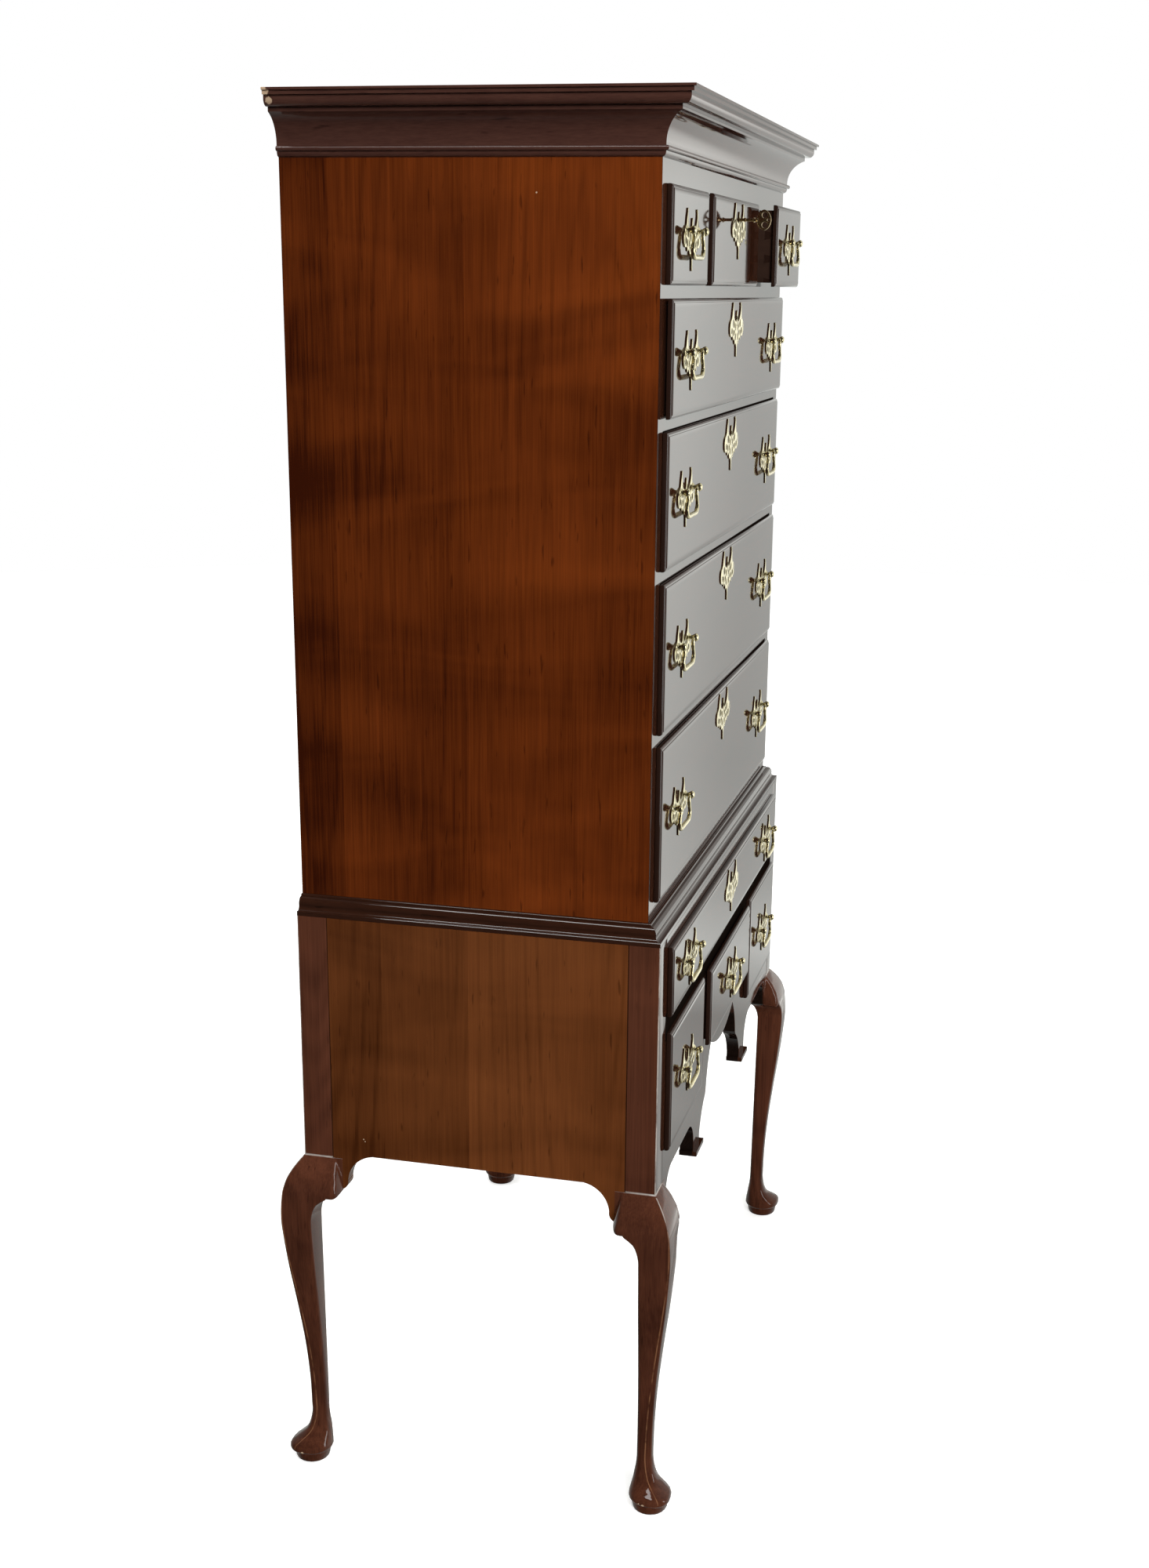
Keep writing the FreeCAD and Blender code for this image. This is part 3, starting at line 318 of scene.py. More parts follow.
@dataclass(frozen=True)
class Cherry:
    """Lacquered cherry: growth rings, fine streaks, cross figure, pores, old chips and a gloss."""

    name: str
    grain: Grain
    dark: RGB
    light: RGB
    ring_depth: float = 0.16      # contrast of the growth rings
    streak_depth: float = 0.55    # contrast of the fine streaks
    patch_depth: float = 0.55     # contrast of the broad figure
    shift: float = 0.0            # moves the figure, so that no two pieces are the same
    index: float = 1.36           # lacquer's index of refraction
    seams: tuple[float, ...] = ()  # glued joints between boards, along Y
    tones: tuple[float, ...] = ()  # each board's tone, from the front, with painted shade deepening toward the rear
    chips: tuple[tuple[float, float, float, float], ...] = ()  # bare spots: place and radius
    mid_case_shade: float = 0.0           # painted shade half way up the upper case: how much darker
    ends: float = 0.0             # where the board meets posts, as a distance from y = 0
    under_case_shade: float = 0.0            # painted shade on the legs under the case: how much darker

    STRETCH = 7.0                                 # figure is this much longer along the grain
    STREAKS, HAIRS = (230.0, 6.0), (620.0, 9.0)   # lines: how fine, and their further stretch
    BROAD, BANDS, BEND = 7.0, 6.0, 8.0            # scales of the figure, its bands, the rings
    PORES = 210.0                                 # scale of the pores
    RINGS_PER_METRE, LEVELS = 62.0, 24.0          # rings of an upright board, and of the rest
    NEXT_BOARD = (0.0, 1.37, 3.35)                # moves the figure on, board by board
    TRUNKS = (-0.155, 0.07, 0.215)                # y of the trunk's centre, board by board
    GLOSS = 0.05                                  # roughness of the lacquer
    MID_CASE = (0.80, 1.05), (1.72, 1.45)         # heights between which the painted shade lies on the case
    UNDER_CASE = (0.47, 0.41)                     # heights where the painted shade on the legs begins
    KNEE_EDGE = (0.405, 0.45)                     # heights where the painted highlight on the knee's edge begins
    RIDGE = (0.02, 0.43, 0.45)                    # foot, head and slope's start of the worn, highlighted line
    END_GRAIN_AND_SHADE = (0.0150, 0.0072, 0.0050)             # end grain on a front's ends, painted shade on its edges above and below
    MEETING = (0.010, 0.0045, 0.0025)             # line where a board meets a post
    RIDGE_WEAR_AND_HIGHLIGHT = (0.25, 0.115, 0.055)                   # wood worn pale, with a painted highlight
    EDGE_HIGHLIGHT = (0.42, 0.38, 0.34)                   # polish rubbed pale
    SHADOW_AND_SAWN_EDGES = (0.0045, 0.0030, 0.0024)          # painted shadow in the gaps, darker sawn edges on the apron
    PAINTED_GAP_SHADOW = (0.006, 0.004, 0.003)                  # painted shadow in the gaps between drawers
    BARE = (0.42, 0.30, 0.20)                     # wood in a chip

    def along_grain(self, g: Graph) -> Sock:
        """Object place with the direction of the grain shortened to the figure's stretch.

        Args:
            g: the material's node tree.

        Returns:
            The coordinates that the figure is read at.
        """
        x, y, z = g.place()
        upright = g.vector(x + self.shift, y, z / self.STRETCH)
        if self.grain in (Grain.UPRIGHT, Grain.LEG):
            return upright
        across = g.vector(x / self.STRETCH, y + self.shift, z)
        if self.grain is Grain.ACROSS:
            return across
        if self.grain is Grain.UPPER_MOULDING:
            on_side = (x.abs() - UPPER_HALF) > (UPPER_FRONT - y)
            return g.mix(on_side, across, g.vector(x, y / self.STRETCH, z + self.shift))
        return g.mix(self.upright_part(x, z), across, upright)

    @staticmethod
    def upright_part(x: Sock, z: Sock) -> Sock:
        """1 on the stiles and dividers of the two fronts, 0 on their rails.

        Args:
            x: place across the case.
            z: height.

        Returns:
            The mask.
        """
        upright = x.abs() > high("drawer_second_box").x + 1.1 * MM
        for middle, side in (("top_centre", "top_right"), ("base_centre", "base_right")):
            between = (x.abs() > high(f"drawer_{middle}_box").x) * \
                (x.abs() < low(f"drawer_{side}_box").x)
            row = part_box(f"drawer_{side}_box")
            upright = upright + between * (z > row[0].z) * (z < row[1].z)
        return upright.clamp()

    def boards(self, g: Graph, values: tuple[float, ...]) -> Sock | float:
        """One of the values on each board: the first in front of all seams, then one past each.

        Args:
            g: the material's node tree.
            values: one number for each board, from the front.

        Returns:
            The board's number.
        """
        _, y, _ = g.place()
        number = values[0]
        for seam, before, after in zip(self.seams, values, values[1:]):
            number = number + (y > seam) * (after - before)
        return number

    def material(self) -> bpy.types.Material:
        """Build the material.

        Returns:
            The finished material.
        """
        made = bpy.data.materials.new(self.name)
        g = Graph(made)
        place = self.along_grain(g)
        if self.seams:
            push = self.boards(g, self.NEXT_BOARD)
            place = g.vectors("ADD", place, g.vector(push, push * 0.7, push * 0.43))
        hairs = self._lines(g, place, *self.HAIRS)
        patch = g.noise(place, self.BROAD, 3.0, 0.55, 0.6)
        tone = self._tone(g, place, hairs, patch)
        shader = g.node("ShaderNodeBsdfPrincipled", {}, {
            "Base Color": self._aged(g, place, tone), "IOR": self.index,
            "Roughness": self.GLOSS + (hairs - 0.5) * 0.02 + (patch - 0.5) * 0.02,
            "Normal": g.bump(hairs * 0.4 + patch, 0.04, 0.0004)})
        if self.grain is Grain.FRAME:
            # A dark matt sheet over the gaps between drawers: painted shadow.
            bare = g.node("ShaderNodeBsdfDiffuse", {}, {"Color": self.PAINTED_GAP_SHADOW})
            shader = g.node("ShaderNodeMixShader", {}, {0: self._gap_shadow_mask(g), 1: shader, 2: bare})
        g.finish(shader)
        return made

    def _tone(self, g: Graph, place: Sock, hairs: Sock, patch: Sock) -> Sock:
        """How light the wood is, from 0 for its dark colour to 1 for its light one.

        Streaks, hairs, the broad figure and the bands across it move it either way from one
        half, each by its depth. Rings and the darker parts only take away.

        Args:
            g: the material's node tree.
            place: the wood's own coordinates, from along_grain.
            hairs: the finest lines, from 0 to 1.
            patch: the broad figure, from 0 to 1.

        Returns:
            The tone.
        """
        streaks = self._lines(g, place, *self.STREAKS)
        tone = 0.5 + (streaks - 0.5) * self.streak_depth + (hairs - 0.5) * self.streak_depth
        tone = tone + (patch - 0.5) * self.patch_depth
        tone = tone + (self._cross_figure(g) - 0.5) * self.patch_depth
        tone = tone - self._rings(g, place) * self.ring_depth
        # Board by board, with painted shade deepening toward the rear.
        if self.tones:
            tone = tone + self.boards(g, self.tones)
        # Painted shade half way up the upper case.
        if self.mid_case_shade:
            _, _, z = g.place()
            foot, head = self.MID_CASE
            tone = tone - (z.step(*foot) * z.step(*head)) * self.mid_case_shade
        # Painted shade on the legs under the case.
        if self.under_case_shade:
            _, _, z = g.place()
            tone = tone - z.step(*self.UNDER_CASE) * self.under_case_shade
        return tone.clamp()

    def _aged(self, g: Graph, place: Sock, tone: Sock) -> Sock:
        """The wood's colour with painted shade on front faces, edges and gaps, pores, wear, painted
        highlights and chips.

        Args:
            g: the material's node tree.
            place: the wood's own coordinates, from along_grain.
            tone: how light the wood is.

        Returns:
            The colour.
        """
        colour = g.mix(tone, self.dark, self.light)
        # Front faces of side boards and posts take the fronts' painted shade.
        if self.grain in (Grain.UPRIGHT, Grain.LEG):
            colour = g.mix(self._front_edge(g), colour, g.mix(tone, *FRONT_SHADED))
        pores = g.noise(place, self.PORES, 1.0, 0.4).step(0.68, 0.80) * 0.5
        colour = g.mix(pores, colour, tuple(channel * 0.45 for channel in self.dark))
        # Narrow edges: end grain on the ends, painted shade on the edges above and below.
        narrow = g.node("ShaderNodeAttribute", {"attribute_name": "end_grain"}, {}, "Fac")
        colour = g.mix(narrow * 0.92, colour, self.END_GRAIN_AND_SHADE)
        if self.ends:
            meeting = g.place()[1].abs().step(self.ends - 0.0016, self.ends - 0.0006)
            colour = g.mix(meeting * 0.8, colour, self.MEETING)
        if self.grain is Grain.LEG:
            # A worn line with a painted highlight down each leg.
            colour = g.mix(self._ridge_wear_and_highlight(g), colour, self.RIDGE_WEAR_AND_HIGHLIGHT)
            # Painted highlight on the post's corner and the knee's edges.
            colour = g.mix(self._edge_highlight(g), colour, self.EDGE_HIGHLIGHT)
        if self.grain is Grain.FRAME:
            # Painted shadow in the gaps, darker sawn edges on the apron.
            colour = g.mix(self._shaded(g), colour, self.SHADOW_AND_SAWN_EDGES)
        return self._chipped(g, colour)

    def _lines(self, g: Graph, place: Sock, scale: float, stretch: float) -> Sock:
        """Fine lines along the grain: noise drawn out by a further stretch.

        Args:
            g: the material's node tree.
            place: the wood's own coordinates, from along_grain.
            scale: how fine the lines are.
            stretch: how much longer again they are along the grain.

        Returns:
            The lines, from 0 to 1.
        """
        upright = (1, 1, 1 / stretch)
        share = {Grain.UPRIGHT: upright, Grain.LEG: upright,
                 Grain.ACROSS: (1 / stretch, 1, 1)}.get(self.grain, (1, 1, 1))
        return g.noise(g.vectors("MULTIPLY", place, share), scale, 2.0, 0.6)

    def _rings(self, g: Graph, place: Sock) -> Sock:
        """Growth rings: nested arches where a board was sawn slantwise through the trunk.

        On an upright board the trunk's centre lies behind it at a depth that changes slowly with
        height; a ring shows where the distance to that centre passes a whole number of rings.
        Elsewhere the rings are the levels of a broad noise.

        Args:
            g: the material's node tree.
            place: the wood's own coordinates, from along_grain.

        Returns:
            1 in the middle of a ring's dark line, else down to 0.
        """
        bend = g.noise(place, self.BEND, 2.0, 0.5)
        if self.grain is not Grain.UPRIGHT:
            height = g.noise(place, 5.5, 1.5, 0.45, 0.35)
            return ((height * self.LEVELS + bend * 2.0) * (2 * math.pi)).sin() * 0.5 + 0.5
        _, y, z = g.place()
        middle = self.boards(g, self.TRUNKS) + (bend - 0.5) * 0.05
        depth = 0.09 * (z - 1.15) + (bend - 0.5) * 0.06
        reach = ((y - middle) ** 2.0 + depth ** 2.0) ** 0.5
        wave = (reach * (2 * math.pi * self.RINGS_PER_METRE) + bend * 9.0).sin() * 0.5 + 0.5
        return wave ** 5.0 * g.noise(place, 9.0, 2.0, 0.5).step(0.36, 0.64)

    def _cross_figure(self, g: Graph) -> Sock:
        """Broad soft bands across the grain, as chatoyant cherry has.

        Args:
            g: the material's node tree.

        Returns:
            The bands, from 0 to 1.
        """
        x, y, z = g.place()
        spread = g.vector(x * 0.5 + self.shift, y * 0.55, z * 1.5)
        return g.noise(spread, self.BANDS, 2.5, 0.5, 0.8)

    @staticmethod
    def _front_edge(g: Graph) -> Sock:
        """1 on the front faces of the side boards and posts, which get the drawer fronts' painted
        shade.

        Args:
            g: the material's node tree.

        Returns:
            The mask.
        """
        _, y, z = g.place()
        upper = (y < UPPER_FRONT + FACE) * (z > BASE_TOP)
        post = (y < BASE_FRONT + FACE) * (z > POST_FOOT) * (z < BASE_TOP)
        return (upper + post).clamp()

    def _ridge_wear_and_highlight(self, g: Graph) -> Sock:
        """Thin pale line down each leg, from the knee's corner to the middle of the ankle: wear
        with a painted highlight.

        Args:
            g: the material's node tree.

        Returns:
            How strong the worn line and its painted highlight are.
        """
        x, y, z = g.place()
        u, v = x.abs() - BASE_HALF, y.abs() - REAR
        broken = g.noise(g.spot(), 34.0, 3.0, 0.6)
        foot, head, start = self.RIDGE
        line = (u - v - (start - z) * 0.024).abs().step(0.0013, 0.0003) * (u > -0.002)
        return line * (z < head) * (z > foot) * broken.step(0.30, 0.60) * 0.6

    def _edge_highlight(self, g: Graph) -> Sock:
        """Painted highlight on the post's outer corner and along the knee's upper edges.

        Args:
            g: the material's node tree.

        Returns:
            How strong the painted highlight is.
        """
        x, y, z = g.place()
        u, v = x.abs() - BASE_HALF, y.abs() - REAR
        broken = g.noise(g.spot(), 22.0, 3.0, 0.6).step(0.30, 0.60)
        post = (u > -0.0013) * (v > -0.0013) * (z > POST_FOOT) * (z < BASE_TOP)
        shoulder = (z - (POST_FOOT - 0.0005)).abs().step(0.0016, 0.0004)
        knee = (u - v).abs().step(0.0016, 0.0005) * (u > 0.002) * z.step(*self.KNEE_EDGE)
        return (post + shoulder + knee).clamp() * (broken * 0.55 + 0.25)

    def _shaded(self, g: Graph) -> Sock:
        """Share of near-black: painted shadow in the gaps, and the apron's sawn edges darkened.

        Args:
            g: the material's node tree.

        Returns:
            The share.
        """
        _, y, z = g.place()
        edges = (y > BASE_FRONT + 2 * FACE) * (z < low("drawer_base_left_box").z - 0.002)
        return (self._gap_shadow_mask(g) + edges).clamp() * 0.9

    @staticmethod
    def _gap_shadow_mask(g: Graph) -> Sock:
        """1 where shadow is painted: on the base's middle rail and at the foot of the gaps between
        long drawers.

        Args:
            g: the material's node tree.

        Returns:
            The mask.
        """
        x, _, z = g.place()
        found = (z > high("drawer_base_left_box").z) * (z < low("drawer_base_long_box").z)
        for below in ("fifth", "fourth", "third"):
            lip = high(f"drawer_{below}_front")
            found = found + (z - lip.z).abs().step(0.0024, 0.0014) * (x.abs() < lip.x)
        return found

    def _chipped(self, g: Graph, colour: Sock) -> Sock:
        """Bare pale wood in small ragged chips.

        Args:
            g: the material's node tree.
            colour: the colour round the chips.

        Returns:
            The colour with the chips in it.
        """
        x, y, z = g.place()
        ragged = g.noise(g.spot(), 300.0, 3.0, 0.6)
        for cx, cy, cz, radius in self.chips:
            away = ((x - cx) ** 2.0 + (y - cy) ** 2.0 + (z - cz) ** 2.0) ** 0.5
            bare = (away + (ragged - 0.5) * radius).step(radius, radius * 0.7)
            colour = g.mix(bare, colour, self.BARE)
        return colour


@dataclass(frozen=True)
class PlainWood:
    """Unlacquered or thinly sealed secondary wood inside the case."""

    name: str
    dark: RGB
    light: RGB
    along: Grain = Grain.FORE_AND_AFT
    roughness: float = 0.62

    def material(self) -> bpy.types.Material:
        """Build the material.

        Returns:
            The finished material.
        """
        made = bpy.data.materials.new(self.name)
        g = Graph(made)
        x, y, z = g.place()
        drawn = (x, y, z * 0.12) if self.along is Grain.UPRIGHT else (x, y * 0.12, z)
        place = g.vector(*drawn)
        streak = g.noise(place, 95.0, 3.0, 0.6)
        broad = g.noise(place, 11.0, 2.0, 0.5, 0.5)
        tone = ((streak - 0.5) * 1.2 + (broad - 0.5) * 1.4 + 0.5).clamp()
        g.finish(g.node("ShaderNodeBsdfPrincipled", {}, {
            "Base Color": g.mix(tone, self.dark, self.light),
            "Normal": g.bump(streak, 0.15, 0.0006),
            "Roughness": self.roughness + (streak - 0.5) * 0.15}))
        return made


@dataclass(frozen=True)
class Metal:
    """Polished or dull metal with clouds and specks of tarnish."""

    name: str
    bright: RGB
    tarnish: RGB
    roughness: float = 0.16
    tarnish_share: float = 0.25

    def material(self) -> bpy.types.Material:
        """Build the material.

        Returns:
            The finished material.
        """
        made = bpy.data.materials.new(self.name)
        g = Graph(made)
        place = g.spot()
        cloud = g.noise(place, 70.0, 3.0, 0.6)
        speck = g.noise(place, 900.0, 1.0, 0.5)
        old = cloud.step(0.46, 0.70) * self.tarnish_share + speck.step(0.62, 0.72) * 0.12
        g.finish(g.node("ShaderNodeBsdfPrincipled", {}, {
            "Base Color": g.mix(old.clamp(), self.bright, self.tarnish), "Metallic": 1.0,
            "Roughness": self.roughness + cloud * 0.12,
            "Normal": g.bump(g.noise(place, 260.0, 2.0, 0.5), 0.08, 0.0003)}))
        return made


PANEL = Cherry("cherry_side_board", Grain.UPRIGHT, (0.030, 0.0046, 0.0007), (0.168, 0.034, 0.0050),
               streak_depth=0.52, patch_depth=0.86, ring_depth=0.15, mid_case_shade=0.20,
               seams=(0.015, 0.185), tones=(0.13, 0.02, -0.16),
               chips=((-0.445, -0.075, 1.722, 0.0012),))
BASE_PANEL = Cherry("cherry_base_panel", Grain.UPRIGHT, (0.044, 0.0115, 0.0026),
                    (0.155, 0.047, 0.0126), streak_depth=0.42, patch_depth=0.95, ring_depth=0.24,
                    shift=0.7, seams=(0.01, 0.13), tones=(0.06, -0.02, -0.12),
                    ends=high("base_side_panels").y,
                    chips=((-0.466, 0.16, 0.50, 0.0011), (-0.466, 0.158, 0.497, 0.0009)))
FRAME = Cherry("cherry_front_frame", Grain.FRAME, *FRONT_SHADED, shift=0.3)
FRONTS = Cherry("cherry_drawer_front", Grain.ACROSS, *FRONT_SHADED, shift=1.9)
WAIST = Cherry("cherry_waist", Grain.UPPER_MOULDING, (0.014, 0.0050, 0.0027),
               (0.033, 0.0112, 0.0058), shift=1.3, ring_depth=0.08, patch_depth=0.3)
MOULDING = Cherry("cherry_moulding", Grain.UPPER_MOULDING, (0.034, 0.0130, 0.0100),
                  (0.080, 0.034, 0.024), shift=0.9, ring_depth=0.08, patch_depth=0.3,
                  chips=((-0.489, 0.244, 1.832, 0.007), (-0.484, 0.240, 1.822, 0.005)))
LEG_WOOD = Cherry("cherry_leg", Grain.LEG, (0.035, 0.0112, 0.0060), (0.117, 0.0385, 0.0195),
                  shift=2.4, index=1.29, under_case_shade=0.24, ring_depth=0.14, streak_depth=0.6,
                  patch_depth=0.7,
                  chips=((-0.4962, -0.2440, 0.0170, 0.0026), (-0.4945, -0.2380, 0.0185, 0.0014),
                         (-0.4962, 0.2530, 0.0170, 0.0024), (-0.4950, 0.2440, 0.0180, 0.0013)))
# Drawer boxes: dark stain, darkened further by painted shade from inside the case.
STAINED_AND_SHADED = PlainWood("stained_drawer_side", (0.012, 0.0062, 0.0044), (0.030, 0.015, 0.010))
BACKING = PlainWood("pine_back", (0.20, 0.11, 0.05), (0.40, 0.26, 0.14), Grain.UPRIGHT)
INNER = PlainWood("poplar_inner", (0.22, 0.15, 0.075), (0.45, 0.34, 0.20))
BRASS = Metal("polished_brass", (0.70, 0.62, 0.39), (0.24, 0.185, 0.085))
KEY_BRASS = Metal("handled_brass", (0.58, 0.43, 0.24), (0.20, 0.12, 0.06), 0.22, 0.5)
IRON = Metal("oiled_iron", (0.20, 0.19, 0.18), (0.09, 0.07, 0.06), 0.38, 0.6)


# ---------------------------------------------------------------------------------------------
# Surfaces
# ---------------------------------------------------------------------------------------------
def link(*made: bpy.types.Object) -> None:
    """Put objects in the scene."""
    for one in made:
        bpy.context.scene.collection.objects.link(one)


@dataclass
class Skin:
    """Points and faces of one piece, gathered surface by surface."""

    points: list[np.ndarray] = field(default_factory=list)
    faces: list[tuple[int, ...]] = field(default_factory=list)
    count: int = 0

    def grid(self, surface: np.ndarray, capped: bool = True) -> "Skin":
        """Add a surface given as closed rings of points; row i is the section at step i.

        Args:
            surface: array of shape (rows, columns, 3).
            capped: close the first and the last ring with a flat face.

        Returns:
            This skin.
        """
        rows, columns, _ = surface.shape
        i, j = np.meshgrid(np.arange(rows - 1), np.arange(columns), indexing="ij")
        right = (j + 1) % columns
        quads = np.stack([i * columns + j, i * columns + right, (i + 1) * columns + right,
                          (i + 1) * columns + j], axis=-1).reshape(-1, 4)
        faces = [tuple(quad) for quad in quads.tolist()]
        if capped:
            last = (rows - 1) * columns
            faces += [tuple(range(columns - 1, -1, -1)), tuple(range(last, last + columns))]
        return self.add(surface.reshape(-1, 3), faces)

    def add(self, points: np.ndarray, faces: list[tuple[int, ...]],
            place: np.ndarray | float = 0.0) -> "Skin":
        """Add ready points and faces, moved to a place.

        Args:
            points: rows of (x, y, z).
            faces: indices into these points.
            place: how far the points are moved.

        Returns:
            This skin.
        """
        self.points.append(points + place)
        self.faces += [tuple(i + self.count for i in face) for face in faces]
        self.count += len(points)
        return self

    def raw(self, name: str, crease: float = 30.0) -> bpy.types.Object:
        """The skin as a loose object; edges sharper than crease, in degrees, stay crisp.

        Args:
            name: the object's name.
            crease: the angle.

        Returns:
            The object, linked to no scene.
        """
        mesh = bpy.data.meshes.new(name)
        mesh.from_pydata(np.concatenate(self.points).tolist(), [], self.faces)
        tidy_mesh(mesh, crease)
        return bpy.data.objects.new(name, mesh)

    def piece(self, name: str, material: bpy.types.Material, body: str, slot: str,
              replaced: str, crease: float) -> bpy.types.Object:
        """Turn the skin into a finished object that rides on a body.

        Args:
            name: the piece's name.
            material: its material.
            body: CAD body that it moves with.
            slot: the record's material slot; not used.
            replaced: CAD node that it stands for.
            crease: edges sharper than this many degrees stay crisp.

        Returns:
            The object.
        """
        made = self.raw(name, crease)
        link(made)
        made.data.materials.append(material)
        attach(made, body)
        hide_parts(replaced)
        LOG.info("%s: %d faces", made.name, len(made.data.polygons))
        return made


def tidy_mesh(mesh: bpy.types.Mesh, crease: float) -> None:
    """Merge doubles, turn faces outwards and shade smooth between crisp edges.

    Args:
        mesh: the mesh to tidy.
        crease: angle in degrees above which an edge stays crisp.
    """
    work = bmesh.new()
    work.from_mesh(mesh)
    bmesh.ops.remove_doubles(work, verts=work.verts, dist=1e-6)
    bmesh.ops.dissolve_degenerate(work, edges=work.edges, dist=1e-7)
    bmesh.ops.recalc_face_normals(work, faces=work.faces)
    work.to_mesh(mesh)
    work.free()
    mesh.shade_smooth()
    mesh.set_sharp_from_angle(angle=math.radians(crease))


def through(knots: np.ndarray, samples: int, closed: bool = False) -> np.ndarray:
    """A smooth curve through points: each span is the Catmull-Rom cubic of its four neighbours.

    Args:
        knots: array of shape (n, k).
        samples: points per span.
        closed: whether the curve returns to its start.

    Returns:
        Points along the curve.
    """
    n = len(knots)
    if closed:
        padded = np.concatenate([knots[-1:], knots, knots[:2]])
    else:
        padded = np.concatenate([2 * knots[:1] - knots[1:2], knots, 2 * knots[-1:] - knots[-2:-1]])
    spans = n if closed else n - 1
    t = np.linspace(0, 1, samples, endpoint=False)[None, :, None]
    p0, p1, p2, p3 = (padded[i:i + spans][:, None, :] for i in range(4))
    curve = 0.5 * (2 * p1 + (p2 - p0) * t + (2 * p0 - 5 * p1 + 4 * p2 - p3) * t ** 2 +
                   (3 * p1 - p0 - 3 * p2 + p3) * t ** 3)
    curve = curve.reshape(-1, knots.shape[1])
    return curve if closed else np.concatenate([curve, knots[-1:]])


def around(count: int) -> np.ndarray:
    """Angles of a full turn, evenly spaced."""
    return np.linspace(0, 2 * math.pi, count, endpoint=False)


def arc(start: tuple[float, float], middle: tuple[float, float], end: tuple[float, float],
        count: int) -> np.ndarray:
    """Points on the circle through three points, from start to end.

    The centre is where the two chords' mid-lines cross; the angle then runs evenly.

    Args:
        start: first point.
        middle: a point between.
        end: last point.
        count: number of points.

    Returns:
        Rows of (a, b), the ends among them.
    """
    (ax, ay), (bx, by), (cx, cy) = start, middle, end
    d = 2 * (ax * (by - cy) + bx * (cy - ay) + cx * (ay - by))
    a2, b2, c2 = ax * ax + ay * ay, bx * bx + by * by, cx * cx + cy * cy
    ux = (a2 * (by - cy) + b2 * (cy - ay) + c2 * (ay - by)) / d
    uy = (a2 * (cx - bx) + b2 * (ax - cx) + c2 * (bx - ax)) / d
    angles = np.unwrap([math.atan2(y - uy, x - ux) for x, y in (start, middle, end)])
    sweep = np.linspace(angles[0], angles[2], count)
    radius = math.hypot(ax - ux, ay - uy)
    return np.stack([ux + radius * np.cos(sweep), uy + radius * np.sin(sweep)], axis=1)


def tube(path: np.ndarray, radius: np.ndarray, sides: int) -> np.ndarray:
    """A round bar along a path that lies in one plane.

    Each ring is radius * (cos a * n + sin a * b), where b stands square to the path's plane and
    n stands square to b and to the path.

    Args:
        path: rows of (x, y, z).
        radius: the bar's radius at each row.
        sides: points round the bar.

    Returns:
        Array of shape (rows, sides, 3).
    """
    b = np.cross(path[1] - path[0], path[len(path) // 3] - path[0])
    b /= np.linalg.norm(b)
    n = np.cross(b, np.gradient(path, axis=0))
    n /= np.linalg.norm(n, axis=1, keepdims=True)
    a = around(sides)[None, :, None]
    return path[:, None, :] + radius[:, None, None] * (np.cos(a) * n[:, None, :] + np.sin(a) * b)


def turned(profile: list[tuple[float, float]], sides: int, z: float = 0.0) -> np.ndarray:
    """A piece turned about a line along Y: ring i is (r cos a, y, z + r sin a).

    Args:
        profile: rows of (y, r), in millimetres.
        sides: points in a ring.
        z: height of the line, in millimetres.

    Returns:
        The rings, in metres.
    """
    a = around(sides)
    y, r = np.array(profile).T[:, :, None]
    return np.stack([r * np.cos(a), y + 0 * a, z + r * np.sin(a)], axis=-1) * MM


def rounded_rings(lows: np.ndarray, highs: np.ndarray, radii: np.ndarray, depths: np.ndarray,
                  count: int) -> np.ndarray:
    """Rectangles with rounded corners, one for each row.

    A corner's points are the corner moved in by its radius r, plus r * (cos a, sin a), where a
    runs through that corner's quarter turn.

    Args:
        lows: low (a, b) of each rectangle.
        highs: high (a, b) of each.
        radii: radii of each one's four corners, from the corner that is high in a and b round
            through the one that is high in b.
        depths: third coordinate of each.
        count: points in a quarter turn.

    Returns:
        Rings with rows of (a, b, depth).
    """
    outward = np.array([(1, 1), (-1, 1), (-1, -1), (1, -1)])
    corners = np.where(outward > 0, highs[:, None], lows[:, None])
    angles = np.linspace(0, math.pi / 2, count) + np.arange(4)[:, None] * math.pi / 2
    quarters = np.stack([np.cos(angles), np.sin(angles)], axis=-1) - outward[:, None]
    rings = (corners[:, :, None] + radii[:, :, None, None] * quarters).reshape(len(lows), -1, 2)
    level = np.broadcast_to(depths[:, None, None], (*rings.shape[:2], 1))
    return np.concatenate([rings, level], axis=-1)


# ---------------------------------------------------------------------------------------------
# Case
# ---------------------------------------------------------------------------------------------
@dataclass
class Case:
    """The boards, frames, bolt and drawer boxes whose CAD shape is shown as it is."""

    finishes: tuple[tuple[Cherry | PlainWood | Metal, tuple[str, ...]], ...] = (
        (PANEL, ("upper_side_boards",)), (BASE_PANEL, ("base_side_panels",)),
        (FRAME, ("front_frame", "apron")), (INNER, ("inner_boards",)),
        (BACKING, ("back_boards",)), (IRON, ("lock_bolt",)),
        (STAINED_AND_SHADED, tuple(node for node in frame["nodes"] if node.endswith("_box"))))

    def dress(self) -> None:
        """Give each carried-over CAD node its finish."""
        for finish, nodes in self.finishes:
            material = finish.material()
            for node in nodes:
                data = frame["nodes"][node].data
                data.materials.clear()
                data.materials.append(material)


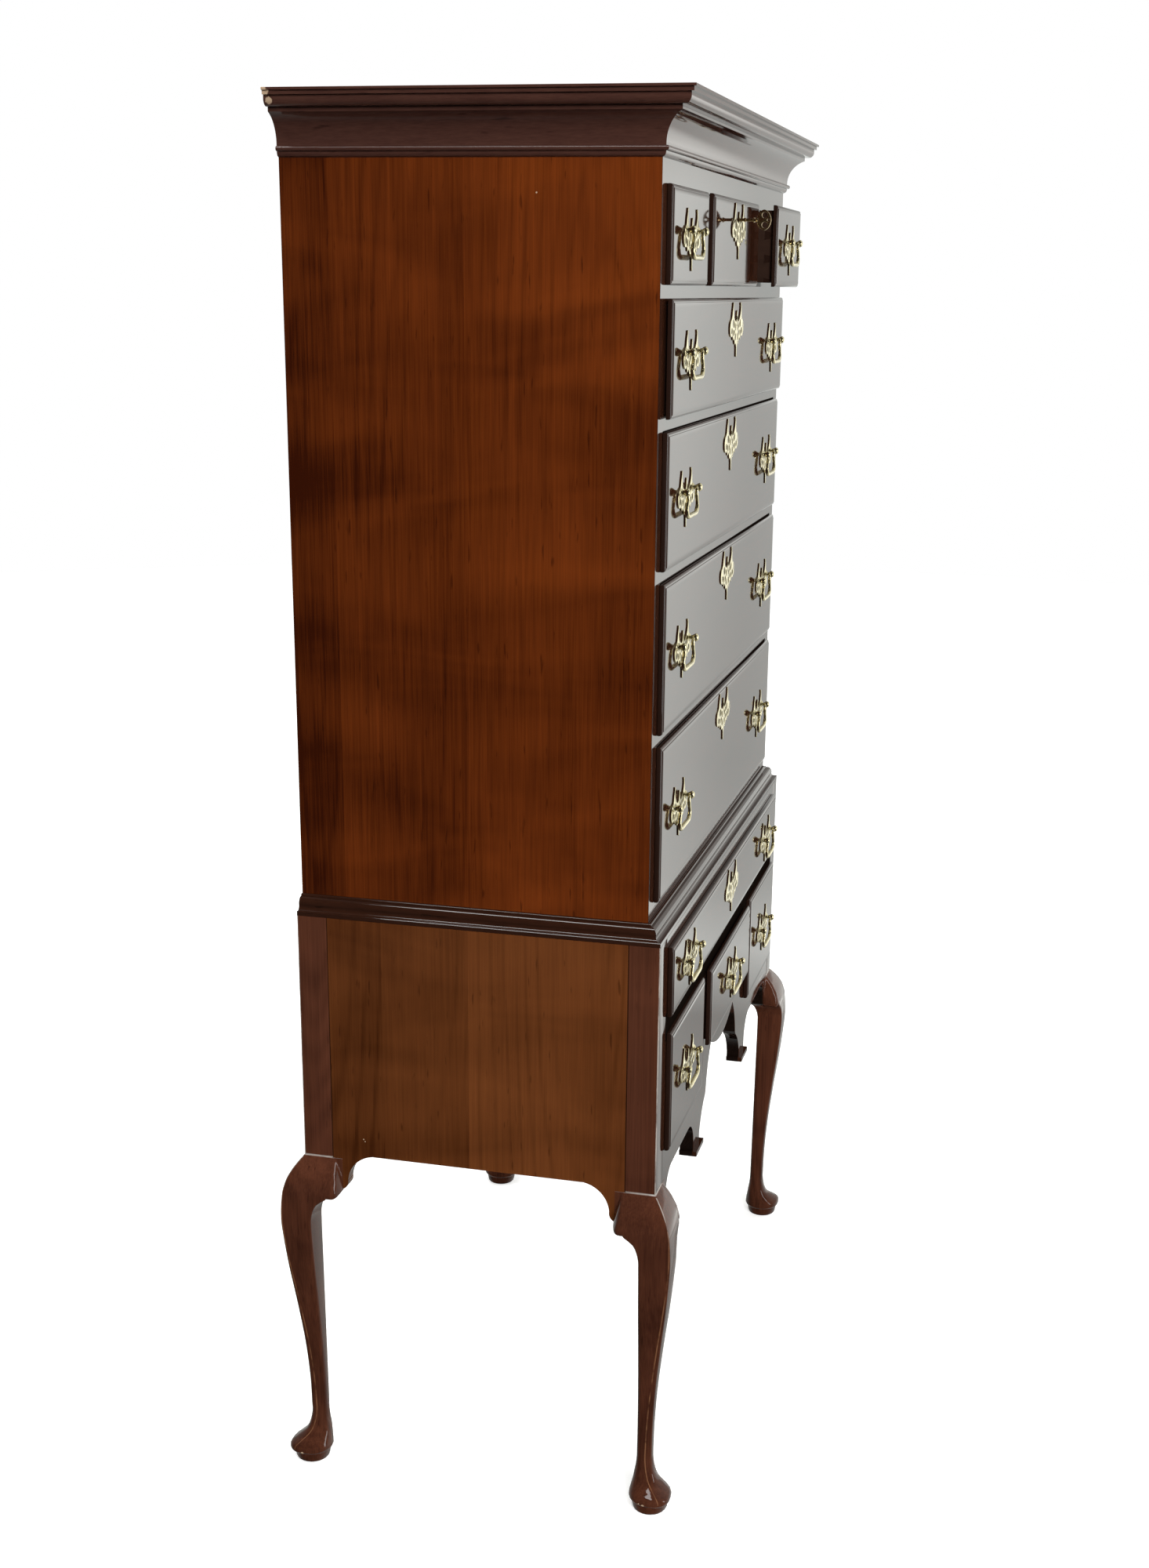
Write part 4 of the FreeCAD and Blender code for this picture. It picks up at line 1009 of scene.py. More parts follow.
@dataclass
class Moulding:
    """A profile carried round the front and both ends of the upper case, with mitred corners."""

    node: str
    profile: Callable[[float, float], np.ndarray]  # its rows, from its reach and height in mm

    def build(self, material: bpy.types.Material) -> None:
        """Make the three mitred lengths as one closed skin.

        The surface is (station, profile point): at a station the point moves out from the case
        by its reach, along the station's outward direction.

        Args:
            material: its finish.
        """
        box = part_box(self.node)
        profile = self.profile((box[1].x - UPPER_HALF) / MM, (box[1].z - box[0].z) / MM)
        corners = np.array([[1, 0], [1, -1], [-1, -1], [-1, 0]], float)
        base = np.array([[UPPER_HALF, REAR], [UPPER_HALF, UPPER_FRONT],
                         [-UPPER_HALF, UPPER_FRONT], [-UPPER_HALF, REAR]])
        xy = base[:, None, :] + corners[:, None, :] * profile[None, :, :1]
        z = np.broadcast_to(box[0].z + profile[:, 1], xy.shape[:2])
        surface = np.concatenate([xy, z[..., None]], axis=-1)
        Skin().grid(surface).piece(f"{self.node}_lengths", material, "case", "cherry_dark",
                                   self.node, 24.0)


def cornice_profile(reach: float, height: float) -> np.ndarray:
    """Bed mould, bead, cove, ovolo and fillets of the cornice, from the foot up.

    Args:
        reach: how far the top stands out, in millimetres.
        height: total height, in millimetres.

    Returns:
        Rows of (reach, height) in metres.
    """
    r, h = reach, height
    parts = [np.array([(0, 0), (3.0, 1.5)]), arc((3.0, 1.5), (4.6, 4.0), (5.0, 7.0), 5),
             arc((5.0, 7.0), (9.0, 9.8), (5.0, 12.5), 12), np.array([(5.0, 16.0)]),
             arc((5.0, 16.0), (11.5, h - 39.0), (r - 19.0, h - 25.5), 22),
             np.array([(r - 19.0, h - 20.5), (r - 15.0, h - 20.5)]),
             arc((r - 15.0, h - 20.5), (r - 8.6, h - 17.8), (r - 6.5, h - 11.0), 12),
             np.array([(r - 6.5, h - 8.0), (r - 3.0, h - 8.0), (r - 3.0, h - 3.2),
                       (r - 0.4, h - 3.2), (r, h - 2.6), (r, h - 0.6), (r - 0.6, h), (0, h)])]
    return np.concatenate(parts) * MM


def waist_profile(step: float, height: float) -> np.ndarray:
    """Fillet, ovolo, cove and bead of the moulding on the base's top, from the foot up.

    Args:
        step: how far the base's top stands out, in millimetres.
        height: total height, in millimetres.

    Returns:
        Rows of (reach, height) in metres.
    """
    r, h, gap = step, height, 0.5     # the gap keeps the moulding's back off the case
    parts = [np.array([(gap, 0), (r - 0.5, 0), (r, 0.5), (r, 5.5), (r - 0.5, 6.0),
                       (r - 4.0, 6.0)]),
             arc((r - 4.0, 6.0), (r - 6.8, 8.2), (r - 8.0, 11.5), 8),
             arc((r - 8.0, 11.5), (r - 9.0, h - 7.0), (r - 13.0, h - 3.0), 10),
             np.array([(r - 16.0, h - 3.0)]),
             arc((r - 16.0, h - 3.0), (r - 16.8, h - 0.8), (r - 18.4, h), 6),
             np.array([(gap, h)])]
    return np.concatenate(parts) * MM


# ---------------------------------------------------------------------------------------------
# Legs
# ---------------------------------------------------------------------------------------------
@dataclass
class CabrioleLegs:
    """Four legs, each one surface: square post, knee, shin, ankle, pad foot and disc.

    Reaches are measured outwards from the leg's corner of the case, all in millimetres.
    """

    knee: float = 468.0           # height of the knee line
    post: float = 41.0            # side of the square post
    knee_reach: float = 27.3      # outer reach where the knee is fullest
    shin_depth: float = 104.0     # head of the shin below the knee line
    shin_outer: float = 26.6      # outer and inner reach there
    shin_inner: float = -16.2
    ankle: float = 22.1           # thickness
    ankle_z: float = 82.0
    ankle_out: float = 2.3        # outer reach
    foot_reach: float = 1.4       # reach of the foot's middle
    foot: float = 29.2            # radius
    disc: float = 24.0            # radius
    block_width: float = 14.0     # of a knee block
    block_drop: float = 53.0
    corner_points: int = 7

    def stations(self) -> np.ndarray:
        """Rows of (height, outer reach, inner reach, outer corner radius, other radius).

        Returns:
            The rows, from the knee line down to the foot's underside.
        """
        k, inner = self.knee, -self.post + 0.8
        rows = [(k, 0.4, inner, 1.6, 2.4), (k - 8, 7.0, inner, 1.6, 2.4),
                (k - 17, 13.4, inner, 1.6, 2.4), (k - 30, 20.2, inner, 1.6, 2.4),
                (k - 45, 24.4, inner + 0.2, 1.6, 2.4), (k - 53, 25.6, -38.0, 1.6, 2.4),
                (k - 58, 26.1, -31.0, 1.7, 2.5), (k - 66, 26.7, -22.5, 1.7, 2.6),
                (k - 82, self.knee_reach, -17.0, 1.8, 2.8),
                (k - self.shin_depth, self.shin_outer, self.shin_inner, 2.0, 3.0)]
        shin, swell = k - self.shin_depth, self.ankle_out - self.shin_outer
        inner_ankle = self.ankle_out - self.ankle
        for share in (0.2, 0.42, 0.64, 0.84, 1.0):
            out = self.shin_outer + swell * math.sin(math.pi / 2 * share) ** 1.3
            inn = self.shin_inner + (inner_ankle - self.shin_inner) * share
            rows.append((shin + (self.ankle_z - shin) * share, out, inn,
                         2 + 3 * share, 3 + 6 * share))
        start, thin = self.ankle_out - self.ankle / 2, self.ankle / 2 + 0.6
        for z, move, radius in ((69, 0.0, thin), (57, 0.03, 13.1), (46.5, 0.10, 15.6),
                                (38.5, 0.28, 18.6), (30.5, 0.66, 24.2), (25.5, 0.92, 27.9),
                                (22.0, 1.0, self.foot), (17.5, 1.0, self.foot - 0.2),
                                (14.5, 1.0, self.foot - 2.2)):
            centre = start + (self.foot_reach - start) * move
            rows.append((z, centre + radius, centre - radius, 0.72 * radius, 0.97 * radius))
        return np.array(rows)

    def rings(self) -> np.ndarray:
        """The stations made smooth, with the post above and the disc below.

        Returns:
            Rows like the stations', from the case's top to the floor.
        """
        smooth = through(self.stations(), 8)
        post = np.array([(BASE_TOP / MM, 0, -self.post, 0.9, 0.9),
                         (self.knee + 0.3, 0, -self.post, 0.9, 0.9)])
        c, d = self.foot_reach, self.disc
        under = np.array([(14.5, c + d + 2, c - d - 2, 0.99 * (d + 2), 0.99 * (d + 2)),
                          (3.0, c + d, c - d, 0.99 * d, 0.99 * d),
                          (0.6, c + d - 1.2, c - d + 1.2, 0.99 * d - 1.2, 0.99 * d - 1.2),
                          (0.0, c + d - 1.8, c - d + 1.8, 0.99 * d - 1.8, 0.99 * d - 1.8)])
        return np.concatenate([post, smooth, under])

    def surface(self) -> np.ndarray:
        """One leg for the corner at (0, 0), outwards along +X and +Y.

        Returns:
            Array of shape (rings, points round, 3), in metres.
        """
        z, outer, inner, r_out, r_other = self.rings().T
        radii = np.stack([r_out, r_other, r_other, r_other], axis=1)
        return rounded_rings(np.stack([inner, inner], axis=1), np.stack([outer, outer], axis=1),
                             radii, z, self.corner_points) * MM

    def build(self, material: bpy.types.Material) -> None:
        """Make the four legs, a block beside each, and one more beside each front leg.

        Args:
            material: the finish of both.
        """
        leg, block = self.surface(), self.block()
        for name, side, end in (("front_left", -1, -1), ("front_right", 1, -1),
                                ("rear_left", -1, 1), ("rear_right", 1, 1)):
            parts = [("leg", "legs", leg), ("knee_block_side", "knee_blocks", block)]
            if end < 0:
                parts.append(("knee_block_front", "knee_blocks", block[..., [1, 0, 2]]))
            corner = np.array([side * BASE_HALF, BASE_FRONT if end < 0 else REAR, 0.0])
            for part, node, shape in parts:
                skin = Skin().grid(shape * np.array([side, end, 1]) + corner)
                skin.piece(f"{part}_{name}", material, "case", "cherry_dark", node, 40.0)

    def block(self) -> np.ndarray:
        """One knee block beside the leg at (0, 0): it carries the knee's shoulder on, sinking.

        At a share s of its width, the reach at depth d below the knee line is the leg's own
        reach at depth d - 36 s^2, and its foot rises by 7 s^4, so that its tip is rounded.

        Returns:
            Array of shape (sections, points round, 3), in metres.
        """
        table = self.stations()[:7]
        depths, reaches = self.knee - table[:, 0], table[:, 1]
        rows = []
        for s in np.concatenate([[-0.3], np.linspace(0, 1, 15) ** 0.8]):
            part = max(s, 0.0)
            down = np.linspace(0.4, self.block_drop - 7.0 * part ** 4, 26)
            reach = np.interp(down - 36.0 * part ** 2, depths, reaches)
            reach = np.where(down < 36.0 * part ** 2, 0.0, reach)
            reach[-3:] *= (0.985, 0.95, 0.86)
            y = np.full(26, -self.post - self.block_width * s)
            outer = np.stack([reach + 0.25, y, self.knee - down], axis=-1)
            inner = np.stack([np.full(2, -1.0), y[:2], self.knee - down[[-1, 0]]], axis=-1)
            rows.append(np.concatenate([outer, inner]))
        return np.array(rows) * MM


# ---------------------------------------------------------------------------------------------
# Drawers and brass
# ---------------------------------------------------------------------------------------------
def taken(mesh: bpy.types.Mesh) -> Shell:
    """Points and faces of a mesh, which is then removed.

    Args:
        mesh: the mesh.

    Returns:
        Rows of (x, y, z), and each face's indices.
    """
    points = np.empty(len(mesh.vertices) * 3)
    mesh.vertices.foreach_get("co", points)
    faces = [tuple(face.vertices) for face in mesh.polygons]
    bpy.data.meshes.remove(mesh)
    return points.reshape(-1, 3), faces


def cut_plate(outline: np.ndarray, holes: list[np.ndarray], thickness: float,
              rounded: float) -> Shell:
    """A flat plate with an outline and holes, its edges rounded.

    A filled flat curve gives what a surface of two parameters cannot: any number of holes.

    Args:
        outline: rows of (a, b) in metres, closed.
        holes: outlines of the holes.
        thickness: of the plate; it lies from 0 to -thickness along the third direction.
        rounded: radius taken off its edges.

    Returns:
        Points as rows of (a, depth, b), and faces.
    """
    data = bpy.data.curves.new("cut_plate", "CURVE")
    data.dimensions, data.fill_mode = "2D", "BOTH"
    data.extrude, data.bevel_depth, data.bevel_resolution = thickness / 2 - rounded, rounded, 1
    data.offset = -rounded
    for ring in [outline] + holes:
        spline = data.splines.new("POLY")
        spline.points.add(len(ring) - 1)
        flat = np.concatenate([ring, np.zeros((len(ring), 1)), np.ones((len(ring), 1))], axis=1)
        spline.points.foreach_set("co", flat.ravel())
        spline.use_cyclic_u = True
    holder = bpy.data.objects.new("cut_plate", data)
    points, faces = taken(bpy.data.meshes.new_from_object(holder))
    bpy.data.objects.remove(holder)
    bpy.data.curves.remove(data)
    return np.stack([points[:, 0], points[:, 2] - thickness / 2, points[:, 1]], axis=1), faces


def disc(a: float, b: float, radius: float) -> np.ndarray:
    """Outline of a round hole about (a, b), in millimetres as given, in metres as returned."""
    turn = around(18)
    return np.stack([a + radius * np.cos(turn), b + radius * np.sin(turn)], axis=1) * MM


@dataclass
class DrawerFront:
    """A lipped front: core, lap, thumb-moulded edge, fillet and flat field, as nested rings."""

    name: str
    lap: float = 6.0              # millimetres, as all these sizes
    rise: float = 0.8             # field above the moulded edge
    edge: float = 4.0             # radius of the moulded edge
    thick: float = 7.6            # of the lapping edge
    corner: float = 0.7           # radius of the front's corners
    core: tuple[float, float] = (1.05, 0.35)  # its play at the sides and above, and below

    def surface(self) -> np.ndarray:
        """Nested rings from the back of the core to the middle of the field.

        Each ring is a rectangle drawn in by its inset with corners of its own radius, at its own
        depth; the moulded edge's rings follow a quarter circle.

        Returns:
            Array of shape (rings, points round, 3), in metres.
        """
        lo, hi = (np.array(corner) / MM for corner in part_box(f"drawer_{self.name}_front"))
        face, back, lap_back = lo[1], hi[1], lo[1] + self.thick
        e, r = self.edge, self.rise
        rows = [(0, 0, back), (0, 0, lap_back)]
        rows += [(1, 0.3, lap_back), (1, 0.0, lap_back - 0.3), (1, 0.0, face + r + e)]
        rows += [(1, e * (1 - math.cos(a)), face + r + e * (1 - math.sin(a)))
                 for a in np.linspace(0, math.pi / 2, 7)[1:]]
        rows += [(1, e + 0.45, face + r), (1, e + 0.6, face + r - 0.2), (1, e + 0.62, face + 0.22),
                 (1, e + 0.75, face + 0.05), (1, e + 0.95, face), (1, e + 6.0, face)]
        on_lap, inset, depth = np.array(rows).T[:, :, None]
        lows = lo[[0, 2]] + np.where(on_lap, inset, self.lap + np.array(self.core))
        highs = hi[[0, 2]] - np.where(on_lap, inset, self.lap + self.core[0])
        radii = np.where(inset < 0.4, self.corner, self.corner * 0.5) * np.ones(4)
        rings = rounded_rings(lows, highs, radii, depth[:, 0], 4)[..., [0, 2, 1]]
        half_way = ((lo + hi) / 2 + rings[-1]) / 2
        half_way[:, 1] = face
        return np.concatenate([rings, half_way[None]]) * MM

    def build(self, material: bpy.types.Material) -> None:
        """Make the front and mark its narrow edges: end grain on its ends, painted shade on its
        edges above and below.

        Args:
            material: its finish.
        """
        node = f"drawer_{self.name}_front"
        mesh = Skin().grid(self.surface()).piece(f"front_{self.name}", material,
                                                 f"drawer_{self.name}", "cherry_front", node,
                                                 28.0).data
        normals = np.empty(len(mesh.polygons) * 3)
        mesh.polygons.foreach_get("normal", normals)
        across, _, up = np.abs(normals.reshape(-1, 3)).T
        # Ends show end grain; edges above and below get painted shade.
        share = ((across > 0.55) | (up > 0.80)).astype(float)
        mesh.attributes.new("end_grain", "FLOAT", "FACE").data.foreach_set("value", share)


@dataclass
class Pull:
    """The batwing plate, its two posts with studs and nuts, and the bail that swings in them."""

    bore: float = 38.0            # half the distance between the posts, in millimetres
    post_up: float = 9.0          # posts above the plate's own middle
    out: float = 9.0              # bail's axis in front of the face
    plate: float = 1.6            # thickness
    rounded: float = 0.4          # radius taken off the plate's edges
    head: float = 5.2             # radius of a post's head
    hole: float = 1.78            # radius of the bail's hole in it
    half: float = 52.0            # half the plate's width
    up: float = 34.5              # plate's reach above its own middle
    down: float = 37.5            # and below it
    drop: float = 31.2            # middle of the grip below the bail's axis
    front: float = 20.6           # thickness of a drawer front, which the stud goes through

    def outline(self) -> np.ndarray:
        """The plate's edge: long tip, scalloped foot, wings, two horns and a middle prong.

        Returns:
            Rows of (a, b) in metres, closed.
        """
        w, up, down = self.half, self.up, self.down
        right = np.array([(1.1, -down), (1.9, -down + 6.0), (2.6, -down + 12.0), (7.0, -20.0),
                          (13.0, -21.0), (17.5, -14.5), (21.0, -12.5), (27.0, -15.5), (32.0, -10.0),
                          (w - 11.0, -11.0), (w - 2.5, -6.5), (w - 0.2, 2.0), (w - 4.0, 9.0),
                          (w - 11.0, 12.5), (w - 15.5, 17.0), (w - 18.0, 24.0), (w - 21.0, 30.0),
                          (29.6, up), (27.0, up - 0.4), (28.2, 30.0), (27.5, 24.0), (22.5, 16.0),
                          (15.0, 10.5), (7.0, 9.5), (3.4, 14.0), (1.5, up - 11.5)])
        ring = np.concatenate([right, right[::-1] * (-1, 1)])
        return through(ring, 4, closed=True) * MM

    def holes(self, keyhole: bool) -> list[np.ndarray]:
        """Kite-shaped piercings, and the keyhole where the plate has one.

        Args:
            keyhole: whether the plate has one.

        Returns:
            The holes' outlines, in metres.
        """
        kites = [[(5.8, 3.0), (8.4, -3.0), (11.4, 0.8), (9.0, 6.2)],
                 [(13.0, 6.2), (14.8, 0.6), (18.4, 3.4), (16.4, 8.6)],
                 [(21.2, 9.0), (22.6, 1.2), (27.4, 4.2), (26.2, 12.0)],
                 [(5.0, -8.6), (7.4, -16.0), (10.6, -12.4), (8.8, -6.2)],
                 [(14.2, -4.0), (17.4, -10.2), (20.6, -6.4), (18.2, -1.6)],
                 [(25.0, -3.4), (28.4, -10.2), (31.6, -6.0), (29.0, -1.4)],
                 [(34.0, -1.2), (36.2, -7.2), (40.6, -5.2), (38.6, 0.8)]]
        found = []
        for kite in kites:
            ring = through(np.array(kite, float), 4, closed=True)
            found += [ring * MM, ring[::-1] * (-MM, MM)]
        if keyhole:
            top = np.linspace(-0.33 * math.pi, 1.33 * math.pi, 15)
            bow = np.stack([3.2 * np.cos(top), 13.5 + 3.2 * np.sin(top)], axis=1)
            skirt = np.array([(-1.8, 3.6), (1.8, 3.6)])
            found.append(np.concatenate([bow, skirt]) * MM)
        return found

    def post(self, toward: int) -> Shell:
        """A post turned about Y, with the bail's hole bored in the side of its head.

        Args:
            toward: 1 if the bail lies on its +X side, else -1.

        Returns:
            Points about the bail's axis at (0, 0, 0), and faces.
        """
        h, foot, end = self.head, self.out - self.plate, self.out + self.front
        profile = [(-h, 1.6), (-h + 0.5, 3.3), (-h + 1.5, 4.5), (-h + 2.8, h), (-h + 4.0, h + 0.15),
                   (-h + 5.0, h - 0.3), (1.6, 3.9), (2.8, 3.1), (4.2, 2.7), (5.2, 2.9), (6.0, 3.7),
                   (6.6, 4.9), (foot, 5.8), (foot + 0.01, 2.2), (end + 4.0, 2.2), (end + 4.4, 1.7)]
        body = Skin().grid(turned(profile, 24)).raw("post")
        cut = turned([(-2.0 * toward, self.hole), (11.0 * toward, self.hole)], 20)
        drill = Skin().grid(cut[..., [1, 0, 2]]).raw("drill")
        link(body, drill)
        bore = body.modifiers.new("bore", "BOOLEAN")
        bore.operation, bore.object, bore.solver = "DIFFERENCE", drill, "EXACT"
        seen = body.evaluated_get(bpy.context.evaluated_depsgraph_get())
        shell = taken(bpy.data.meshes.new_from_object(seen))
        for part in (body, drill):
            mesh = part.data
            bpy.data.objects.remove(part)
            bpy.data.meshes.remove(mesh)
        return shell

    def nut(self) -> Shell:
        """A hexagonal nut behind the front, its corners eased; it stands on the stud.

        Returns:
            Points about the bail's axis at (0, 0, 0), and faces.
        """
        end = self.out + self.front
        profile = [(end, 4.9), (end + 0.1, 5.0), (end + 2.6, 5.0), (end + 3.0, 4.4)]
        skin = Skin().grid(turned(profile, 6))
        return np.concatenate(skin.points), skin.faces

    def bail(self, place: np.ndarray) -> np.ndarray:
        """The bail: a round bar along a smooth path, thin in its pins and thickest in the grip.

        Args:
            place: middle of the line between the two posts, in metres.

        Returns:
            The bar's rings.
        """
        b, low_z = self.bore, -self.drop
        half = np.array([(b + 1.5, 0), (b - 3, 0), (b - 8.5, 0), (b - 10.6, -1.5), (b - 11.2, -4.5),
                         (b - 10.4, -9.5), (b - 7.0, -15.5), (b - 4.9, -20.5), (b - 4.9, low_z + 9),
                         (b - 7.8, low_z + 3.4), (b - 14, low_z + 0.2), (b - 24, low_z - 0.1),
                         (5.0, low_z)])
        bar = np.array([1.7, 1.7, 1.7, 2.0, 2.3, 2.4, 2.3, 2.3, 2.5, 2.8, 3.1, 3.25, 3.3])
        knots = np.concatenate([half * (-1, 1), half[::-1]])
        radius = np.concatenate([bar, bar[::-1]])
        smooth = through(np.column_stack([knots, radius]), 5)
        path = np.stack([smooth[:, 0], np.zeros(len(smooth)), smooth[:, 1]], axis=1)
        return tube(path * MM, smooth[:, 2] * MM, 14) + place


@dataclass
class Brassware:
    """All plates, posts, nuts, escutcheons, the lock's case and the bails."""

    pull: Pull = field(default_factory=Pull)
    keyholes: tuple[str, ...] = ("top_centre", "second", "third", "fourth", "fifth", "base_long")
    from_lip: float = 40.5        # escutcheon's centre below the top of its front, millimetres
    lock_half: float = 26.0       # half the width of the lock's case, millimetres
    lock_deep: float = 13.0
    lock_below: float = 15.8      # its foot below the bolt's
    well: float = 0.2             # room round the bolt

    def build(self, brass: bpy.types.Material) -> None:
        """Make one piece of brass for each drawer and one bail for each pull.

        Args:
            brass: its finish.
        """
        pull = self.pull
        places: dict[str, list[np.ndarray]] = {}
        for joint in frame["record"]["behaviour"]["joints"]:
            if joint["name"].startswith("swing_"):
                place = np.array(joint["pos_m"])
                places.setdefault(joint["parent"], []).append(place)
                Skin().grid(pull.bail(place)).piece(
                    joint["name"].replace("swing", "handle"), brass, joint["child"], "brass",
                    joint["child"], 50.0)
        plain, pierced = (cut_plate(pull.outline(), pull.holes(keyhole), pull.plate * MM,
                                    pull.rounded * MM) for keyhole in (False, True))
        posts = {toward: pull.post(toward) for toward in (-1, 1)}
        nut = pull.nut()
        for body in (name for name in frame["bodies"] if name.startswith("drawer_")):
            name, skin = body.removeprefix("drawer_"), Skin()
            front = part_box(f"{body}_front")
            for place in places.get(body, []):
                centre = np.array([place[0], front[0].y, place[2] - pull.post_up * MM])
                skin.add(*plain, centre)
                for side in (-1, 1):
                    at = place + np.array([side * pull.bore * MM, 0, 0])
                    skin.add(*posts[-side], at)
                    skin.add(*nut, at)
            if name in self.keyholes:
                skin.add(*pierced, np.array([0.0, front[0].y, front[1].z - self.from_lip * MM]))
            if name == "top_centre":
                self.lock_case(skin)
            skin.piece(f"brass_{name}", brass, body, "brass", f"{body}_brass", 35.0)

    def lock_case(self, skin: Skin) -> None:
        """The lock's case behind the front, a box with an open well for the bolt.

        Four level rectangles: the case's foot and top, and the well's top and floor.

        Args:
            skin: the drawer's brass, which the case joins.
        """
        bolt, rear = np.array(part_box("lock_bolt")), high("drawer_top_centre_brass").y
        foot, top = bolt[0, 2] - self.lock_below * MM, bolt[1, 2]
        case = np.array([(-self.lock_half * MM, rear - self.lock_deep * MM),
                         (self.lock_half * MM, rear)])
        well = bolt + np.array([[-1], [1]]) * self.well * MM
        levels = ((case, foot), (case, top), (well, top), (well, well[0, 2]))
        skin.grid(np.array([np.stack([box[[0, 1, 1, 0], 0], box[[0, 0, 1, 1], 1],
                                      np.full(4, z)], axis=-1) for box, z in levels]))


@dataclass
class Key:
    """The key in the lock: a pierced bow, a ball, collars and a shaft, all in millimetres."""

    bow: tuple[float, float] = (9.3, 13.6)    # half its length along the shaft, and across it
    thick: float = 3.0                        # of the bow
    shaft: float = 2.0                        # radius

    def build(self, material: bpy.types.Material) -> None:
        """Make the key about its axis, which runs along Y.

        Args:
            material: its finish.
        """
        (_, tip, foot), (_, end, top) = (np.array(corner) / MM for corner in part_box("key"))
        z, a = (foot + top) / 2, around(40)
        bow = np.stack([self.bow[0] * np.cos(a) * (1 + 0.06 * np.cos(2 * a)),
                        self.bow[1] * np.sin(a)], axis=1)
        holes = [disc(-1.0, 6.4, 3.9), disc(-1.0, -6.4, 3.9), disc(-6.0, 0.0, 1.7)]
        points, faces = cut_plate(bow * MM, holes, self.thick * MM, 0.9 * MM)
        upright = points[:, [1, 0, 2]] + np.array([self.thick / 2 * MM, 0.0, 0.0])
        skin = Skin().add(upright, faces, np.array([0.0, tip + 9.5, z]) * MM)
        s, at = self.shaft, tip + 16.5
        ball = [(0.0, 1.0), (0.6, 2.6), (2.0, 3.5), (3.4, 2.9), (4.4, 2.1), (5.4, 2.1)]
        collars = [(5.8, 3.4), (7.2, 3.6), (7.8, 2.4), (9.0, s), (17.5, s), (18.0, 2.9),
                   (19.8, 2.9), (20.4, s)]
        profile = [(at + along, radius) for along, radius in ball + collars] + [(end, s)]
        skin.grid(turned(profile, 24, z))
        skin.piece("key_in_lock", material, "key", "brass_key", "key", 35.0)


